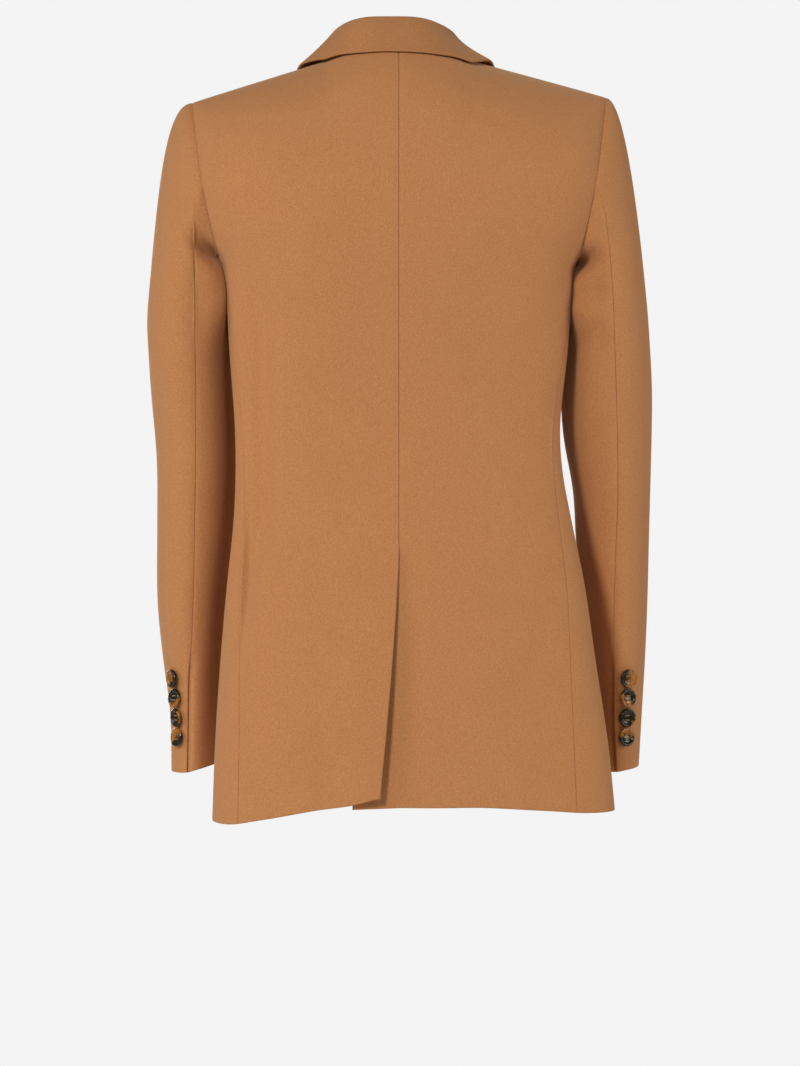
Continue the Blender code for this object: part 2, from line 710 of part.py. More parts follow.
def stand_surface(u, v):
    """The collar stand, from the neckline seam up to just under the fold."""
    w = (2 * u - 1) * STAND_REACH
    foot, fold = collar_row("foot", w), collar_row("fold", w)
    top = fold + np.array((0, 0, -STAND_DROP))
    return lerp(foot, top, v)


def neck_axis(point):
    return np.array((0, NECK_MIDDLE_Y, point[2]))


def collar_axis(point):
    """Below the fall, so that its outer face is the one turned up and outwards."""
    return np.array((0, NECK_MIDDLE_Y, point[2] - 25))


def make_collar():
    panel("collar_fall", fall_surface, even(FALL_COLUMN_COUNT), FALL_ROWS, collar_axis)
    panel("collar_stand", stand_surface, even(STAND_COLUMN_COUNT), even(STAND_ROW_COUNT), neck_axis)


def sleeve_value(side, name, z):
    return column(SLEEVE_SECTIONS[side], SLEEVE_COLUMNS, name, z)


def sleeve_ring(side, turn, z, tuck=0):
    """The sleeve's outer face at a turn round it: 0 outside, 90 behind, 180 next to the body."""
    outer, inner = sleeve_value(side, "outer", z), sleeve_value(side, "inner", z)
    half_width = (outer - inner) / 2 - tuck
    half_depth = sleeve_value(side, "half_depth", z) - tuck
    around = math.radians(turn)
    across = (outer + inner) / 2 + half_width * math.cos(around)
    return np.array((side * across, sleeve_value(side, "middle_y", z) + half_depth * math.sin(around), z))


def around_armhole(values, turn):
    """A value that is given for the top, the back or front, and the foot of the armhole."""
    top, middle, foot = values
    down = (1 - math.cos(math.radians(turn))) / 2
    return lerp(top, middle, down * 2) if down < 0.5 else lerp(middle, foot, down * 2 - 1)


def sleeve_point(side, turn, v, tuck=0):
    if v > SLEEVE_V:
        heights = (BICEP_Z,) + SLEEVE_ROWS
        level = level_at((v - SLEEVE_V) / (1 - SLEEVE_V), heights)
        name = "left" if side == LEFT else "right"
        rise = column(CUFF_HEM_RISE, CUFF_HEM_COLUMNS, name, turn % 360, "turn")
        eased = 1 - smooth(0, CUFF_HEM_EASE, level - SLEEVE_FOOT_Z)
        return sleeve_ring(side, turn, level + rise * eased, tuck)
    t = v / SLEEVE_V
    start = armhole_point(side, turn)
    reach, fall = (around_armhole(values, turn) for values in (SLEEVE_HEAD_REACH[side], SLEEVE_HEAD_FALL))
    start_out = start + np.array((side * reach, 0, -fall))
    end = sleeve_ring(side, turn, BICEP_Z, tuck)
    drop = around_armhole(SLEEVE_HEAD_DROP, turn)
    lean = SLEEVE_HEAD_LEAN * drop * (1 + math.cos(math.radians(turn))) / 2
    end_in = end + np.array((-side * lean, 0, drop))
    return (
        (1 - t) ** 3 * start + 3 * t * (1 - t) ** 2 * start_out + 3 * t**2 * (1 - t) * end_in + t**3 * end
    )


def back_seam_turn(side, v):
    if v <= SLEEVE_V:
        return lerp(BACK_SEAM_TURN, sleeve_value(side, "back_seam", BICEP_Z), smooth(0, SLEEVE_V, v))
    z = level_at((v - SLEEVE_V) / (1 - SLEEVE_V), (BICEP_Z,) + SLEEVE_ROWS)
    return sleeve_value(side, "back_seam", z)


def sleeve_axis(side):
    def axis(point):
        z = min(point[2], BICEP_Z)
        outer, inner = sleeve_value(side, "outer", z), sleeve_value(side, "inner", z)
        height = point[2] if point[2] < BICEP_Z else min(point[2] - 20, -120)
        return np.array((side * (outer + inner) / 2, sleeve_value(side, "middle_y", z), height))

    return axis


def upper_sleeve(side):
    return lambda u, v: sleeve_point(side, lerp(FRONT_SEAM_TURN - 360, back_seam_turn(side, v), u), v)


def under_sleeve(side):
    return lambda u, v: sleeve_point(side, lerp(back_seam_turn(side, v), FRONT_SEAM_TURN, u), v)


def make_sleeve(side, word):
    count_upper = (BACK_SEAM_TURN + 360 - FRONT_SEAM_TURN) // ARMHOLE_STEP + 1
    count_under = (FRONT_SEAM_TURN - BACK_SEAM_TURN) // ARMHOLE_STEP + 1
    rows = even(HEAD_ROWS + len(SLEEVE_ROWS) + 1)
    axis = sleeve_axis(side)
    panel(f"sleeve_upper_{word}", upper_sleeve(side), even(count_upper), rows, axis, "azb")
    panel(f"sleeve_under_{word}", under_sleeve(side), even(count_under), rows, axis, "azb")


def button(name, radius, centre, facing):
    """A rimmed button, lying with its back at centre and its face turned to facing."""
    facing = unit(facing)
    across = unit(np.cross((0, 0, 1), facing))
    up = np.cross(facing, across)
    points, faces = [], []
    for share, height in BUTTON_PROFILE:
        count = 1 if share == 0 else BUTTON_SIDES
        for i in range(count):
            turn = 2 * math.pi * i / BUTTON_SIDES
            flat = (math.cos(turn) * across + math.sin(turn) * up) * radius * share
            points.append(centre + flat + facing * height * BUTTON_THICK)
    rings = len(BUTTON_PROFILE) - 2
    last = len(points) - 1
    for i in range(BUTTON_SIDES):
        j = (i + 1) % BUTTON_SIDES
        faces.append((0, 1 + i, 1 + j))
        for r in range(rings - 1):
            a = 1 + r * BUTTON_SIDES
            faces.append((a + i, a + BUTTON_SIDES + i, a + BUTTON_SIDES + j, a + j))
        a = 1 + (rings - 1) * BUTTON_SIDES
        faces.append((a + i, last, a + j))
    return add_object(name, points, faces, TORTOISESHELL, 0.2)


def make_cuff_buttons(side, word):
    for i in range(CUFF_BUTTON_COUNT):
        z = CUFF_BUTTON_TOP_Z - CUFF_BUTTON_PITCH * i
        turn = CUFF_BUTTON_ANGLE[side]
        here = sleeve_ring(side, turn, z)
        along = sleeve_ring(side, turn + 2, z) - sleeve_ring(side, turn - 2, z)
        facing = unit(np.cross(along, (0, 0, 1)) * side) * (1, 1, 0)
        facing = facing if facing[1] > 0 else -facing
        button(f"cuff_button_{word}_{i + 1}", CUFF_BUTTON_RADIUS, here + facing * BUTTON_LIFT, facing)


def make_front_buttons():
    for word, x in (("left", -FRONT_BUTTON_X), ("right", FRONT_BUTTON_X)):
        for i, z in enumerate(FRONT_BUTTON_HEIGHTS):
            here = front_point(RIGHT, x, z, BUTTON_LIFT)
            across = front_point(RIGHT, x + 2, z, 0) - front_point(RIGHT, x - 2, z, 0)
            along = front_point(RIGHT, x, z + 2, 0) - front_point(RIGHT, x, z - 2, 0)
            facing = unit(np.cross(across, along))
            facing = facing if facing[1] < 0 else -facing
            button(f"front_button_{word}_{i + 1}", FRONT_BUTTON_RADIUS, here, facing)


for side, word in ((LEFT, "left"), (RIGHT, "right")):
    make_back(side, f"back_{word}")
    make_side(side, f"side_{word}")
    make_front(side, f"front_{word}")
    make_lapel(side, f"lapel_{word}")
    make_sleeve(side, word)
    make_cuff_buttons(side, word)
make_front_buttons()
make_collar()
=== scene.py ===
"""The looks of a hip-length double-breasted wool coat in its worn, hollow form.

Lengths are millimetres until a mesh is made. +Z is up, the fronts face -Y, and the wearer's left is +X.
The form below is the one the solids have; each cloth piece is a fine shell on it, with its seams pressed
in, its edges rounded and its creases placed one by one.
"""

import math
from functools import cache

import bmesh
import bpy
import numpy as np
from mathutils import Matrix, Vector


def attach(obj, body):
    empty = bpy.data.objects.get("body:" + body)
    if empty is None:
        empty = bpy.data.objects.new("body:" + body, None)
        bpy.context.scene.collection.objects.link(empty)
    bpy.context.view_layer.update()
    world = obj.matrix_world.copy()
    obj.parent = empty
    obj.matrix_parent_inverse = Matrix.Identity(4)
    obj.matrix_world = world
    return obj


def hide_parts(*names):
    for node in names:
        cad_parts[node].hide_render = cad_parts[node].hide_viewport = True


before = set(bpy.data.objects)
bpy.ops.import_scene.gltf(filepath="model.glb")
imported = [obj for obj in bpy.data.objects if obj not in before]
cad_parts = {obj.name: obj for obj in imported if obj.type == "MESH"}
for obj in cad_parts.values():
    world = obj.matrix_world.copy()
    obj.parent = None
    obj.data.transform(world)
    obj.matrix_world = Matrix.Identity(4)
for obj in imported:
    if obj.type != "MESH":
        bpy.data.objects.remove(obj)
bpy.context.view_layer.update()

MM = 0.001

WALL = 2.4  # felted coating cloth
SEAM_GAP = 0.44  # between two pieces that are sewn together
LEFT, RIGHT = 1, -1
SIDE_NAMES = {LEFT: "left", RIGHT: "right"}
# Horizontal sections of the body, from hem to shoulder blades. left and right are half widths, back and
# front are how far the cloth reaches behind and before the widest line, which lies at y = widest.
BODY_COLUMNS = ("z", "left", "right", "back", "front", "widest", "round_back", "round_front")
BODY_SECTIONS = (
    (-720, 178, 207, 88, 168, 42, 2.2, 2.3),
    (-640, 175, 199, 86, 164, 40, 2.2, 2.3),
    (-560, 170, 187, 84, 156, 37, 2.2, 2.3),
    (-490, 164, 177, 80, 147, 33, 2.2, 2.3),
    (-430, 158, 165, 74, 138, 28, 2.2, 2.3),
    (-380, 156, 156, 70, 132, 24, 2.2, 2.3),
    (-335, 157, 154, 68, 130, 22, 2.2, 2.3),
    (-270, 162, 161, 77, 131, 19, 2.3, 2.3),
    (-190, 169, 169, 97, 129, 13, 2.4, 2.3),
    (-150, 190, 190, 115, 118, 0, 2.5, 2.4),
    (-111.5, 205, 202, 119, 114, -4, 2.6, 2.5),
)
# Rows of points up the body, from the hem to the chest; the upper ones meet the armhole's points.
LEVELS = (-706, -670, -625, -575, -525, -490, -467, -455, -420, -380, -335, -285, -230, -190)
HEM_LEVEL = -706
HEM_FADE_Z = -420  # above this height the rows lie level
LAYER_SPREAD = 0.35  # how much layers spread sideways, against forwards and backwards
SIDE_BEND = -230  # above this level the rows bend to meet the armhole's foot
# The neckline and the shoulder seams
NECK_HALF_WIDTH = 70
NECK_POINT_Z = 13.5
NAPE_Z = 27
NECK_BRIDGE = 22.5  # how high the form would rise over the neck, above the line of the shoulders
RIDGE_Y = -8
NECK_MIDDLE_Y = -30
SHOULDER_SLOPE = {LEFT: 0.31, RIGHT: 0.27}
# The armholes: a long oval that leans in towards the body at its foot
ARMHOLE_STEP = 15  # degrees between the points that sleeve and body share
ARMHOLE_TOP_Z = -33
ARMHOLE_FOOT_Z = -190
ARMHOLE_MIDDLE_Z = (ARMHOLE_TOP_Z + ARMHOLE_FOOT_Z) / 2
ARMHOLE_HALF_HEIGHT = (ARMHOLE_TOP_Z - ARMHOLE_FOOT_Z) / 2
CHEST_Z = ARMHOLE_MIDDLE_Z  # above this height the cloth vaults over to the shoulder seams
SIDE_PANEL_TURN = 150  # where on the armhole the side panel begins, in degrees from its top
ARMHOLE_TOP_X = 198.5
ARMHOLE_LEAN = 17.5
ARMHOLE_TUCK = 12.0
# Seams of the body, as angles from the centre back
SIDE_BACK_HEM = 72
SIDE_FRONT_HEM = 122
# The hem: how high it hangs at each angle from the centre back
HEM_COLUMNS = ("angle", "left", "right")
HEM_HEIGHTS = (
    (-30, -699, -699.5),
    (0, -687, -697.5),
    (13, -689, -697.5),
    (27, -695, -697.5),
    (45, -700.5, -697.5),
    (64, -710, -701),
    (75, -715, -704),
    (90, -713, -703.5),
    (130, -709, -703.5),
    (180, -706, -706),
    (215, -706, -706),
)
# The centre vent: the left side laps over the right
VENT_TOP_Z = -455
VENT_SPREAD = 19
VENT_LAP = 44
VENT_LIFT = 8.0
VENT_LIFT_WIDTH = 55  # how far from the vent's edge the lift fades out
VENT_SINK_FROM, VENT_SINK_TO = 2, 30  # how far out the sunk cloth begins to return to the form, and is there
VENT_SINK = 3.1  # how far the right side steps in behind the left
LAP_TAPER = 55  # the height over which the lap grows to its full width
LAP_TOP_Z = -467  # the lap begins below this height, where the step is complete
STEP_TOP_Z = -450  # where the step between the two sides begins
# The double-breasted fronts: the right laps over the left
FRONT_LAP = 80
BREAK_Z = -300
ROLL_TOP_X, ROLL_TOP_Z = 58, -14
# The height where the two roll lines cross.
CROSS_Z = BREAK_Z + (ROLL_TOP_Z - BREAK_Z) * FRONT_LAP / (FRONT_LAP + ROLL_TOP_X)
LAP_RISE = 3.9
LAP_MARGIN = 5  # the rise reaches this far past the lap, and then eases off
LAP_EASE = 30
LAP_FADE_FROM, LAP_FADE_TO = -135, -50  # the rise fades between these heights
# The lapels. The left one begins where the right front covers it.
LAPEL_TIP_X, LAPEL_TIP_Z = 136, -46
LAPEL_TOP_X, LAPEL_TOP_Z = 52, -27
LAPEL_BELLY = 10
LAPEL_FOOT_WIDTH, LAPEL_FOOT_RISE = 9, 2
COVERED_FOOT_RISE, COVERED_EDGE_DROP, COVERED_EDGE_WIDTH = 16, 62, 12
# How the lapel's cloth leaves the roll line: the share of its width, how far it reaches past the front's
# free edge, and how far its outer face stands off the front.
LAPEL_COLUMNS = ("across", "share", "past", "off")
LAPEL_FOLD = (
    (0, 0, 4.6, 0.2),
    (0.05, 0, 4.9, 2.2),
    (0.1, 0, 3.2, 5.2),
    (0.2, 0.03, 0, 6.8),
    (0.35, 0.18, 0, 6.3),
    (0.55, 0.45, 0, 5.4),
    (0.78, 0.75, 0, 4.7),
    (1, 1, 0, 4.4),
)
# Collar stations from the centre back to each front end: the fold line and the outer edge of the fall.
# The edge's turns are degrees from the ridge of the shoulder, down the back, on either side.
COLLAR_COLUMNS = (
    *("fold_x", "fold_y", "fold_z", "foot_x", "foot_y", "foot_z"),
    *("edge_x", "edge_left", "edge_right", "edge_off"),
)
COLLAR_STATIONS = (
    (0, 49, 51, 0, 50, 29.5, 0, 37, 37, 3.5),
    (25, 46, 50.5, 30, 43, 28.5, 31, 32, 36, 3.7),
    (43, 28, 47, 50, 27, 25, 58, 19.5, 29, 4.6),
    (57, -6, 40, 63, -8, 18, 87, 1, 12, 5.0),
    (62, -38, 23.5, 65, -40, 7, 97, -28, -24, 6.2),
    (62, -63, 2.5, 60, -69, -7, 98, -46, -46, 7.6),
)
COLLAR_SHIFT = 8  # the collar sits a little towards the wearer's left
COLLAR_AXIS_DROP = 25
FOLD_RADIUS = 4.0
FOLD_START, FOLD_END = -75, 50  # degrees round the fold, from inside the neck to the outer face
FOLD_SHARE = 0.35  # how much of the fall's v goes round the fold
FALL_LEAVE, FALL_ARRIVE = 0.8, 1.1  # how strongly the fall keeps its direction at the fold and at its edge
STAND_REACH = 0.8  # how much of the collar's length the stand runs under
STAND_DROP = 7.5  # from the fold line to the stand's top edge
# Sleeve sections from bicep to cuff. outer and inner are distances from the centre plane of the body.
SLEEVE_COLUMNS = ("z", "outer", "inner", "middle_y", "half_depth", "back_seam")
SLEEVE_SECTIONS = {
    LEFT: (
        (-235, 243, 162.5, -17, 66, 102),
        (-300, 239.5, 158.5, -27, 64, 98),
        (-370, 234, 157, -36, 61, 92),
        (-440, 234, 159.5, -43, 58, 92),
        (-505, 234, 166, -49, 55, 95),
        (-560, 229, 168, -54, 52, 88),
        (-615, 222, 166, -58, 50, 73),
        (-671, 221, 167, -62, 50, 70),
    ),
    RIGHT: (
        (-235, 240, 162.5, -17, 66, 85),
        (-300, 244, 156.5, -27, 64, 81),
        (-345, 244, 158.5, -34, 62, 80),
        (-400, 243, 168.5, -42, 59, 84),
        (-450, 242, 171.5, -49, 57, 88),
        (-505, 241, 178.5, -56, 54, 96),
        (-560, 239, 182, -62, 51, 101),
        (-615, 236, 183, -67, 49, 99),
        (-671, 233, 183, -72, 48, 89),
    ),
}
SLEEVE_FOOT_Z = -671
CUFF_VENT_Z = -556
BICEP_Z = -235
HEAD_ROWS = 6
SLEEVE_ROWS = (-275, -320, -365, -410, -460, -510, CUFF_VENT_Z, -595, -635, SLEEVE_FOOT_Z)
SLEEVE_V = HEAD_ROWS / (HEAD_ROWS + len(SLEEVE_ROWS))
BACK_SEAM_TURN = 90  # where the sleeve's two seams meet the armhole
FRONT_SEAM_TURN = 240
# How far the cloth runs out level at the top, back and foot of the armhole, and how far it then falls
# straight into the bicep.
SLEEVE_HEAD_REACH = {LEFT: (28, 10, 3), RIGHT: (17, 10, 3)}
SLEEVE_HEAD_FALL = (1, 7, 1)  # how far it has already fallen by then
SLEEVE_HEAD_DROP = (118, 66, 16)
SLEEVE_HEAD_LEAN = 0.09  # how much the fall leans in at the top
HEAD_AXIS_DROP, HEAD_AXIS_TOP_Z = 20, -120
# The cuff's hem: how far it is raised at each turn round the sleeve
CUFF_HEM_COLUMNS = ("turn", "left", "right")
CUFF_HEM_RISE = (
    (0, 0, 5),
    (60, 0, 2),
    (90, 3, 0),
    (130, 8, 2),
    (180, 12, 4),
    (240, 10, 4),
    (300, 4, 5),
    (360, 0, 5),
)
CUFF_HEM_EASE = 80  # the height over which the rows turn from level to the hem's slope
# Buttons
CUFF_BUTTON_RADIUS = 9.1
FRONT_BUTTON_RADIUS = 13.5
CUFF_BUTTON_TOP_Z = -580
CUFF_BUTTON_PITCH = 18.9
CUFF_BUTTON_ANGLE = {LEFT: 49.5, RIGHT: 71}
FRONT_BUTTON_X = 60
FRONT_BUTTON_HEIGHTS = (-326, -430)
BUTTON_THICK = 3.4
BUTTON_LIFT = 1.8  # the thread shank under a button


def hermite(start, leave, end, arrive, t):
    """A smooth curve from start to end, with the directions in which it leaves and arrives."""
    first = (2 * t**3 - 3 * t**2 + 1) * start + (t**3 - 2 * t**2 + t) * leave
    return first + (3 * t**2 - 2 * t**3) * end + (t**3 - t**2) * arrive


def column(table, columns, name, at, key="z"):
    """A table's column read at one value of its key, along a smooth curve through the rows."""
    rows = sorted((row[columns.index(key)], row[columns.index(name)]) for row in table)
    keys = [k for k, _ in rows]
    values = [v for _, v in rows]
    at = min(max(at, keys[0]), keys[-1])
    i = max(j for j in range(len(keys) - 1) if keys[j] <= at or j == 0)
    slopes = [
        (values[min(j + 1, len(keys) - 1)] - values[max(j - 1, 0)])
        / (keys[min(j + 1, len(keys) - 1)] - keys[max(j - 1, 0)])
        for j in (i, i + 1)
    ]
    span = keys[i + 1] - keys[i]
    return hermite(values[i], span * slopes[0], values[i + 1], span * slopes[1], (at - keys[i]) / span)


def body(name, z):
    return column(BODY_SECTIONS, BODY_COLUMNS, name, z)


def smooth(low, high, at):
    t = min(max((at - low) / (high - low), 0), 1)
    return t * t * (3 - 2 * t)


def lerp(a, b, t):
    return a + (b - a) * t


def section_of(side, z, front):
    """Half width, reach and roundness of one quarter of the section at height z."""
    half_width = body(SIDE_NAMES[side], z)
    if front:
        return half_width, body("front", z), body("round_front", z)
    return half_width, body("back", z), body("round_back", z)


def ring_point(side, angle, z):
    """The cloth's outer face at an angle from the centre back, at a height below the chest."""
    if angle > 180:
        return ring_point(-side, 360 - angle, z)
    if angle < 0:
        return ring_point(-side, -angle, z)
    across = math.sin(math.radians(angle))
    along = math.cos(math.radians(angle))
    half_width, reach, roundness = section_of(side, z, along < 0)
    radius = ((across / half_width) ** roundness + (abs(along) / reach) ** roundness) ** (-1 / roundness)
    return np.array((side * radius * across, body("widest", z) + radius * along, z))


def depth_at(side, x, z, front):
    """How far behind or before the widest line the cloth lies, x out on that side at height z."""
    half_width, reach, roundness = section_of(side, z, front)
    return reach * max(1 - (x / half_width) ** roundness, 0) ** (1 / roundness)


def angle_at(side, x, z, front):
    """The angle from the centre back of the point that lies x out on the wearer's own side."""
    if x < 0:
        turned = angle_at(-side, -x, z, front)
        return 360 - turned if front else -turned
    angle = math.degrees(math.atan2(x, depth_at(side, x, z, front)))
    return 180 - angle if front else angle


def ridge(side, x, front):
    """Depth and height of the line that the cloth vaults up to, x out from the centre on that side: the
    shoulder seam, and between the neck points a bridge over the neck, which the neckline cuts off."""
    beyond = abs(x) / NECK_HALF_WIDTH
    run = max(abs(x) - NECK_HALF_WIDTH, 0)
    seam_y = RIDGE_Y + (-SEAM_GAP / 2 if front else SEAM_GAP / 2)
    even_slope = (SHOULDER_SLOPE[LEFT] + SHOULDER_SLOPE[RIGHT]) / 2
    slope = lerp(even_slope, SHOULDER_SLOPE[side], min(beyond, 1) ** 2)
    inside = max(1 - beyond**2, 0)
    bridge = slope * NECK_HALF_WIDTH * inside / 2 + (0 if front else NECK_BRIDGE * inside**1.2)
    return seam_y, NECK_POINT_Z - slope * run + bridge


def neckline_rise(side, x):
    """How far up towards the ridge the back reaches: all the way, but less under the neck."""
    beyond = min(abs(x) / NECK_HALF_WIDTH, 1)
    height = NECK_POINT_Z + (NAPE_Z - NECK_POINT_Z) * (1 - beyond**2) ** 0.7
    return min((height - CHEST_Z) / (ridge(side, x, False)[1] - CHEST_Z), 1) if beyond < 1 else 1


def chest_y(side, x, front):
    """Depth of the cloth at the chest, x out on that side."""
    depth = depth_at(side, abs(x), CHEST_Z, front)
    return body("widest", CHEST_Z) + (-depth if front else depth)


def vault_point(side, x, rise, front):
    """The cloth's outer face above the chest: rise goes from 0 at the chest to 1 at the ridge."""
    own = side if x >= 0 else -side
    ridge_y, ridge_z = ridge(own, x, front)
    y = ridge_y + (chest_y(own, x, front) - ridge_y) * math.sqrt(max(1 - rise**2, 0))
    return np.array((side * x, y, CHEST_Z + (ridge_z - CHEST_Z) * rise))


def shoulder_point(x, turn, off):
    """A point off millimetres out from the vault, at x (towards the wearer's left) and a turn in degrees
    from the ridge: above 0 down the back, below 0 down the front."""
    side, front = (LEFT if x >= 0 else RIGHT), turn < 0

    def surface(x, turn):
        return vault_point(side, side * x, math.cos(math.radians(turn)), front)

    across = surface(x + 1, turn) - surface(x - 1, turn)
    along = surface(x, turn + (-1 if front else 1)) - surface(x, turn)
    normal = unit(np.cross(across, along))
    return surface(x, turn) + normal * (off if normal[2] > 0 else -off)


def armhole_height(turn):
    """Height at a turn round the armhole: 0 at its top, 90 at the back, 180 at its foot, 270 in front."""
    return ARMHOLE_MIDDLE_Z + ARMHOLE_HALF_HEIGHT * math.cos(math.radians(turn))


def armhole_x(z):
    """How far out the armhole seam lies at a height."""
    down = (ARMHOLE_TOP_Z - z) / (ARMHOLE_TOP_Z - ARMHOLE_FOOT_Z)
    return ARMHOLE_TOP_X - ARMHOLE_LEAN * down - ARMHOLE_TUCK * down**2


def armhole_angle(side, z, front):
    """The armhole seam's angle from the centre back, at a height below the chest."""
    half_width = section_of(side, z, front)[0]
    return angle_at(side, min(armhole_x(z), half_width), z, front)


def armhole_point(side, turn):
    turn = turn % 360
    front = turn > 180
    z = armhole_height(turn)
    if z > CHEST_Z:
        return vault_point(side, armhole_x(z), (z - CHEST_Z) / ARMHOLE_HALF_HEIGHT, front)
    return ring_point(side, armhole_angle(side, z, front), z)


SIDE_PANEL_TOP_Z = armhole_height(SIDE_PANEL_TURN)


def seam_angle(side, z, front):
    """The side seams, running from the hem up to the armhole."""
    hem = SIDE_FRONT_HEM if front else SIDE_BACK_HEM
    top = armhole_angle(side, SIDE_PANEL_TOP_Z, front)
    return hem + (top - hem) * smooth(HEM_LEVEL, SIDE_PANEL_TOP_Z, z)


def outer_edge(side, z, front):
    """The angle of a back's or a front's outer edge: the side seam, and the armhole above it."""
    if z <= SIDE_PANEL_TOP_Z:
        return seam_angle(side, z, front)
    return armhole_angle(side, z, front)


def hem_z(side, angle):
    return column(HEM_HEIGHTS, HEM_COLUMNS, SIDE_NAMES[side], angle, "angle")


def unit(vector):
    return vector / np.linalg.norm(vector)


def body_axis(point):
    return np.array((0, 0, point[2]))


def row_height(side, level, angle):
    """The height of a row of points at an angle: near the hem the rows follow it."""
    hem = hem_z(side, angle) - HEM_LEVEL
    return level + hem * (1 - smooth(HEM_LEVEL, HEM_FADE_Z, level))


def level_at(v, levels):
    """v runs from 0 at the hem to 1 at the last level, evenly over the rows."""
    return float(np.interp(v * (len(levels) - 1), range(len(levels)), levels))


BODY_LEVELS = LEVELS + tuple(armhole_height(turn) for turn in range(SIDE_PANEL_TURN, 89, -ARMHOLE_STEP))
VAULT_ROWS = 90 // ARMHOLE_STEP
BODY_ROWS = len(BODY_LEVELS) + VAULT_ROWS
CHEST_V = (len(BODY_LEVELS) - 1) / (BODY_ROWS - 1)


def outward_at(point):
    """The level direction in which one layer of the body lies on another."""
    return unit(np.array((point[0] * LAYER_SPREAD, point[1] - body("widest", point[2]), 0)))


def body_panel(side, front, inner_x, u, v, out_by):
    """A point of a back (u from the centre out) or of a front (u from its free edge out).
    inner_x(z) is where the piece begins, on the wearer's own side; out_by moves it off the form."""
    if v <= CHEST_V:
        level = level_at(v / CHEST_V, BODY_LEVELS)
        z = level
        for _ in range(3):
            inner = angle_at(side, inner_x(z), z, front)
            angle = inner + (outer_edge(side, z, front) - inner) * u
            z = row_height(side, level, angle)
        point = ring_point(side, angle, z)
    else:
        rise = math.sin(math.pi / 2 * (v - CHEST_V) / (1 - CHEST_V))
        edge_x = armhole_x(CHEST_Z + ARMHOLE_HALF_HEIGHT * rise)
        low = angle_at(side, inner_x(CHEST_Z), CHEST_Z, front)
        angle = low + (outer_edge(side, CHEST_Z, front) - low) * u
        chest_x = side * ring_point(side, angle, CHEST_Z)[0]
        share = (chest_x - inner_x(CHEST_Z)) / (armhole_x(CHEST_Z) - inner_x(CHEST_Z))
        start = inner_x(CHEST_Z + (NECK_POINT_Z - CHEST_Z) * rise)
        x = start + (edge_x - start) * share
        point = vault_point(side, x, rise * (1 if front else neckline_rise(side, x)), front)
    return point + outward_at(point) * out_by(side * point[0], point[2])


def back_start(side):
    """Where a back begins: at the centre seam, and below the vent at its own free edge."""

    def inner_x(z):
        down = min(max((VENT_TOP_Z - z) / (VENT_TOP_Z - HEM_LEVEL), 0), 1)
        if side == LEFT:
            return VENT_SPREAD * down**1.3
        return -VENT_LAP * (1 - smooth(LAP_TOP_Z - LAP_TAPER, LAP_TOP_Z, z))

    return inner_x


def back_rise(side):
    """The left back lifts a little along the vent, and the right one sinks behind it."""

    def out_by(x, z):
        if z > STEP_TOP_Z:
            return 0
        if side == LEFT:
            down = (VENT_TOP_Z - z) / (VENT_TOP_Z - HEM_LEVEL)
            return VENT_LIFT * max(down, 0) * (1 - smooth(VENT_SPREAD, VENT_SPREAD + VENT_LIFT_WIDTH, x))
        sunk = 1 - smooth(LAP_TOP_Z, STEP_TOP_Z, z)
        return -VENT_SINK * sunk * (1 - smooth(VENT_SINK_FROM, VENT_SINK_TO, x))

    return out_by


def back_surface(side):
    """A back, from the centre seam (u = 0) out to the side seam and the armhole."""
    start, rise = back_start(side), back_rise(side)
    return lambda u, v: body_panel(side, False, start, u, v, rise)


SIDE_TURNS = range(SIDE_PANEL_TURN, 361 - SIDE_PANEL_TURN, ARMHOLE_STEP)
SIDE_LEVELS = LEVELS + (SIDE_PANEL_TOP_Z,)


def side_surface(side):
    """The side panel, from the side-back seam to the side-front one, up to the armhole's foot."""

    def surface(u, v):
        turn = lerp(SIDE_TURNS[0], SIDE_TURNS[-1], u)
        level = level_at(v, SIDE_LEVELS)
        top = armhole_height(turn)
        z = level
        if level > SIDE_BEND:
            z = lerp(SIDE_BEND, top, (level - SIDE_BEND) / (SIDE_LEVELS[-1] - SIDE_BEND))
        for _ in range(3):
            angle = lerp(seam_angle(side, z, False), seam_angle(side, z, True), u)
            if level <= SIDE_BEND:
                z = row_height(side, level, angle)
        at_armhole = armhole_angle(side, top, turn > 180)
        at_top = lerp(seam_angle(side, top, False), seam_angle(side, top, True), u)
        return ring_point(side, angle + (at_armhole - at_top) * smooth(SIDE_BEND, SIDE_LEVELS[-1], level), z)

    return surface


def roll_x(z):
    """The free edge of a front, on its wearer's own side: the lap, and above the break the roll line."""
    up = min(max((z - BREAK_Z) / (ROLL_TOP_Z - BREAK_Z), 0), 1.2)
    return -FRONT_LAP + (ROLL_TOP_X + FRONT_LAP) * up


def front_rise(side):
    """The right front lies on the left one as far as they overlap."""

    def out_by(x, z):
        if side == LEFT:
            return 0
        faded = 1 - smooth(LAP_FADE_FROM, LAP_FADE_TO, z)
        lapped = FRONT_LAP + LAP_MARGIN
        return LAP_RISE * faded * (1 - smooth(lapped, lapped + LAP_EASE, x))

    return out_by


def front_surface(side):
    """A front, from its free edge (u = 0) out to the side seam and the armhole."""
    rise = front_rise(side)
    return lambda u, v: body_panel(side, True, roll_x, u, v, rise)


def front_point(side, x, z, off):
    """A point off millimetres out from the front, at x on the wearer's own side and height z."""
    if z <= CHEST_Z:
        point = ring_point(side, angle_at(side, x, z, True), z)
    else:
        ridge_z = ridge(side if x >= 0 else -side, x, True)[1]
        point = vault_point(side, x, (z - CHEST_Z) / (ridge_z - CHEST_Z), True)
    return point + outward_at(point) * (off + front_rise(side)(x, z))


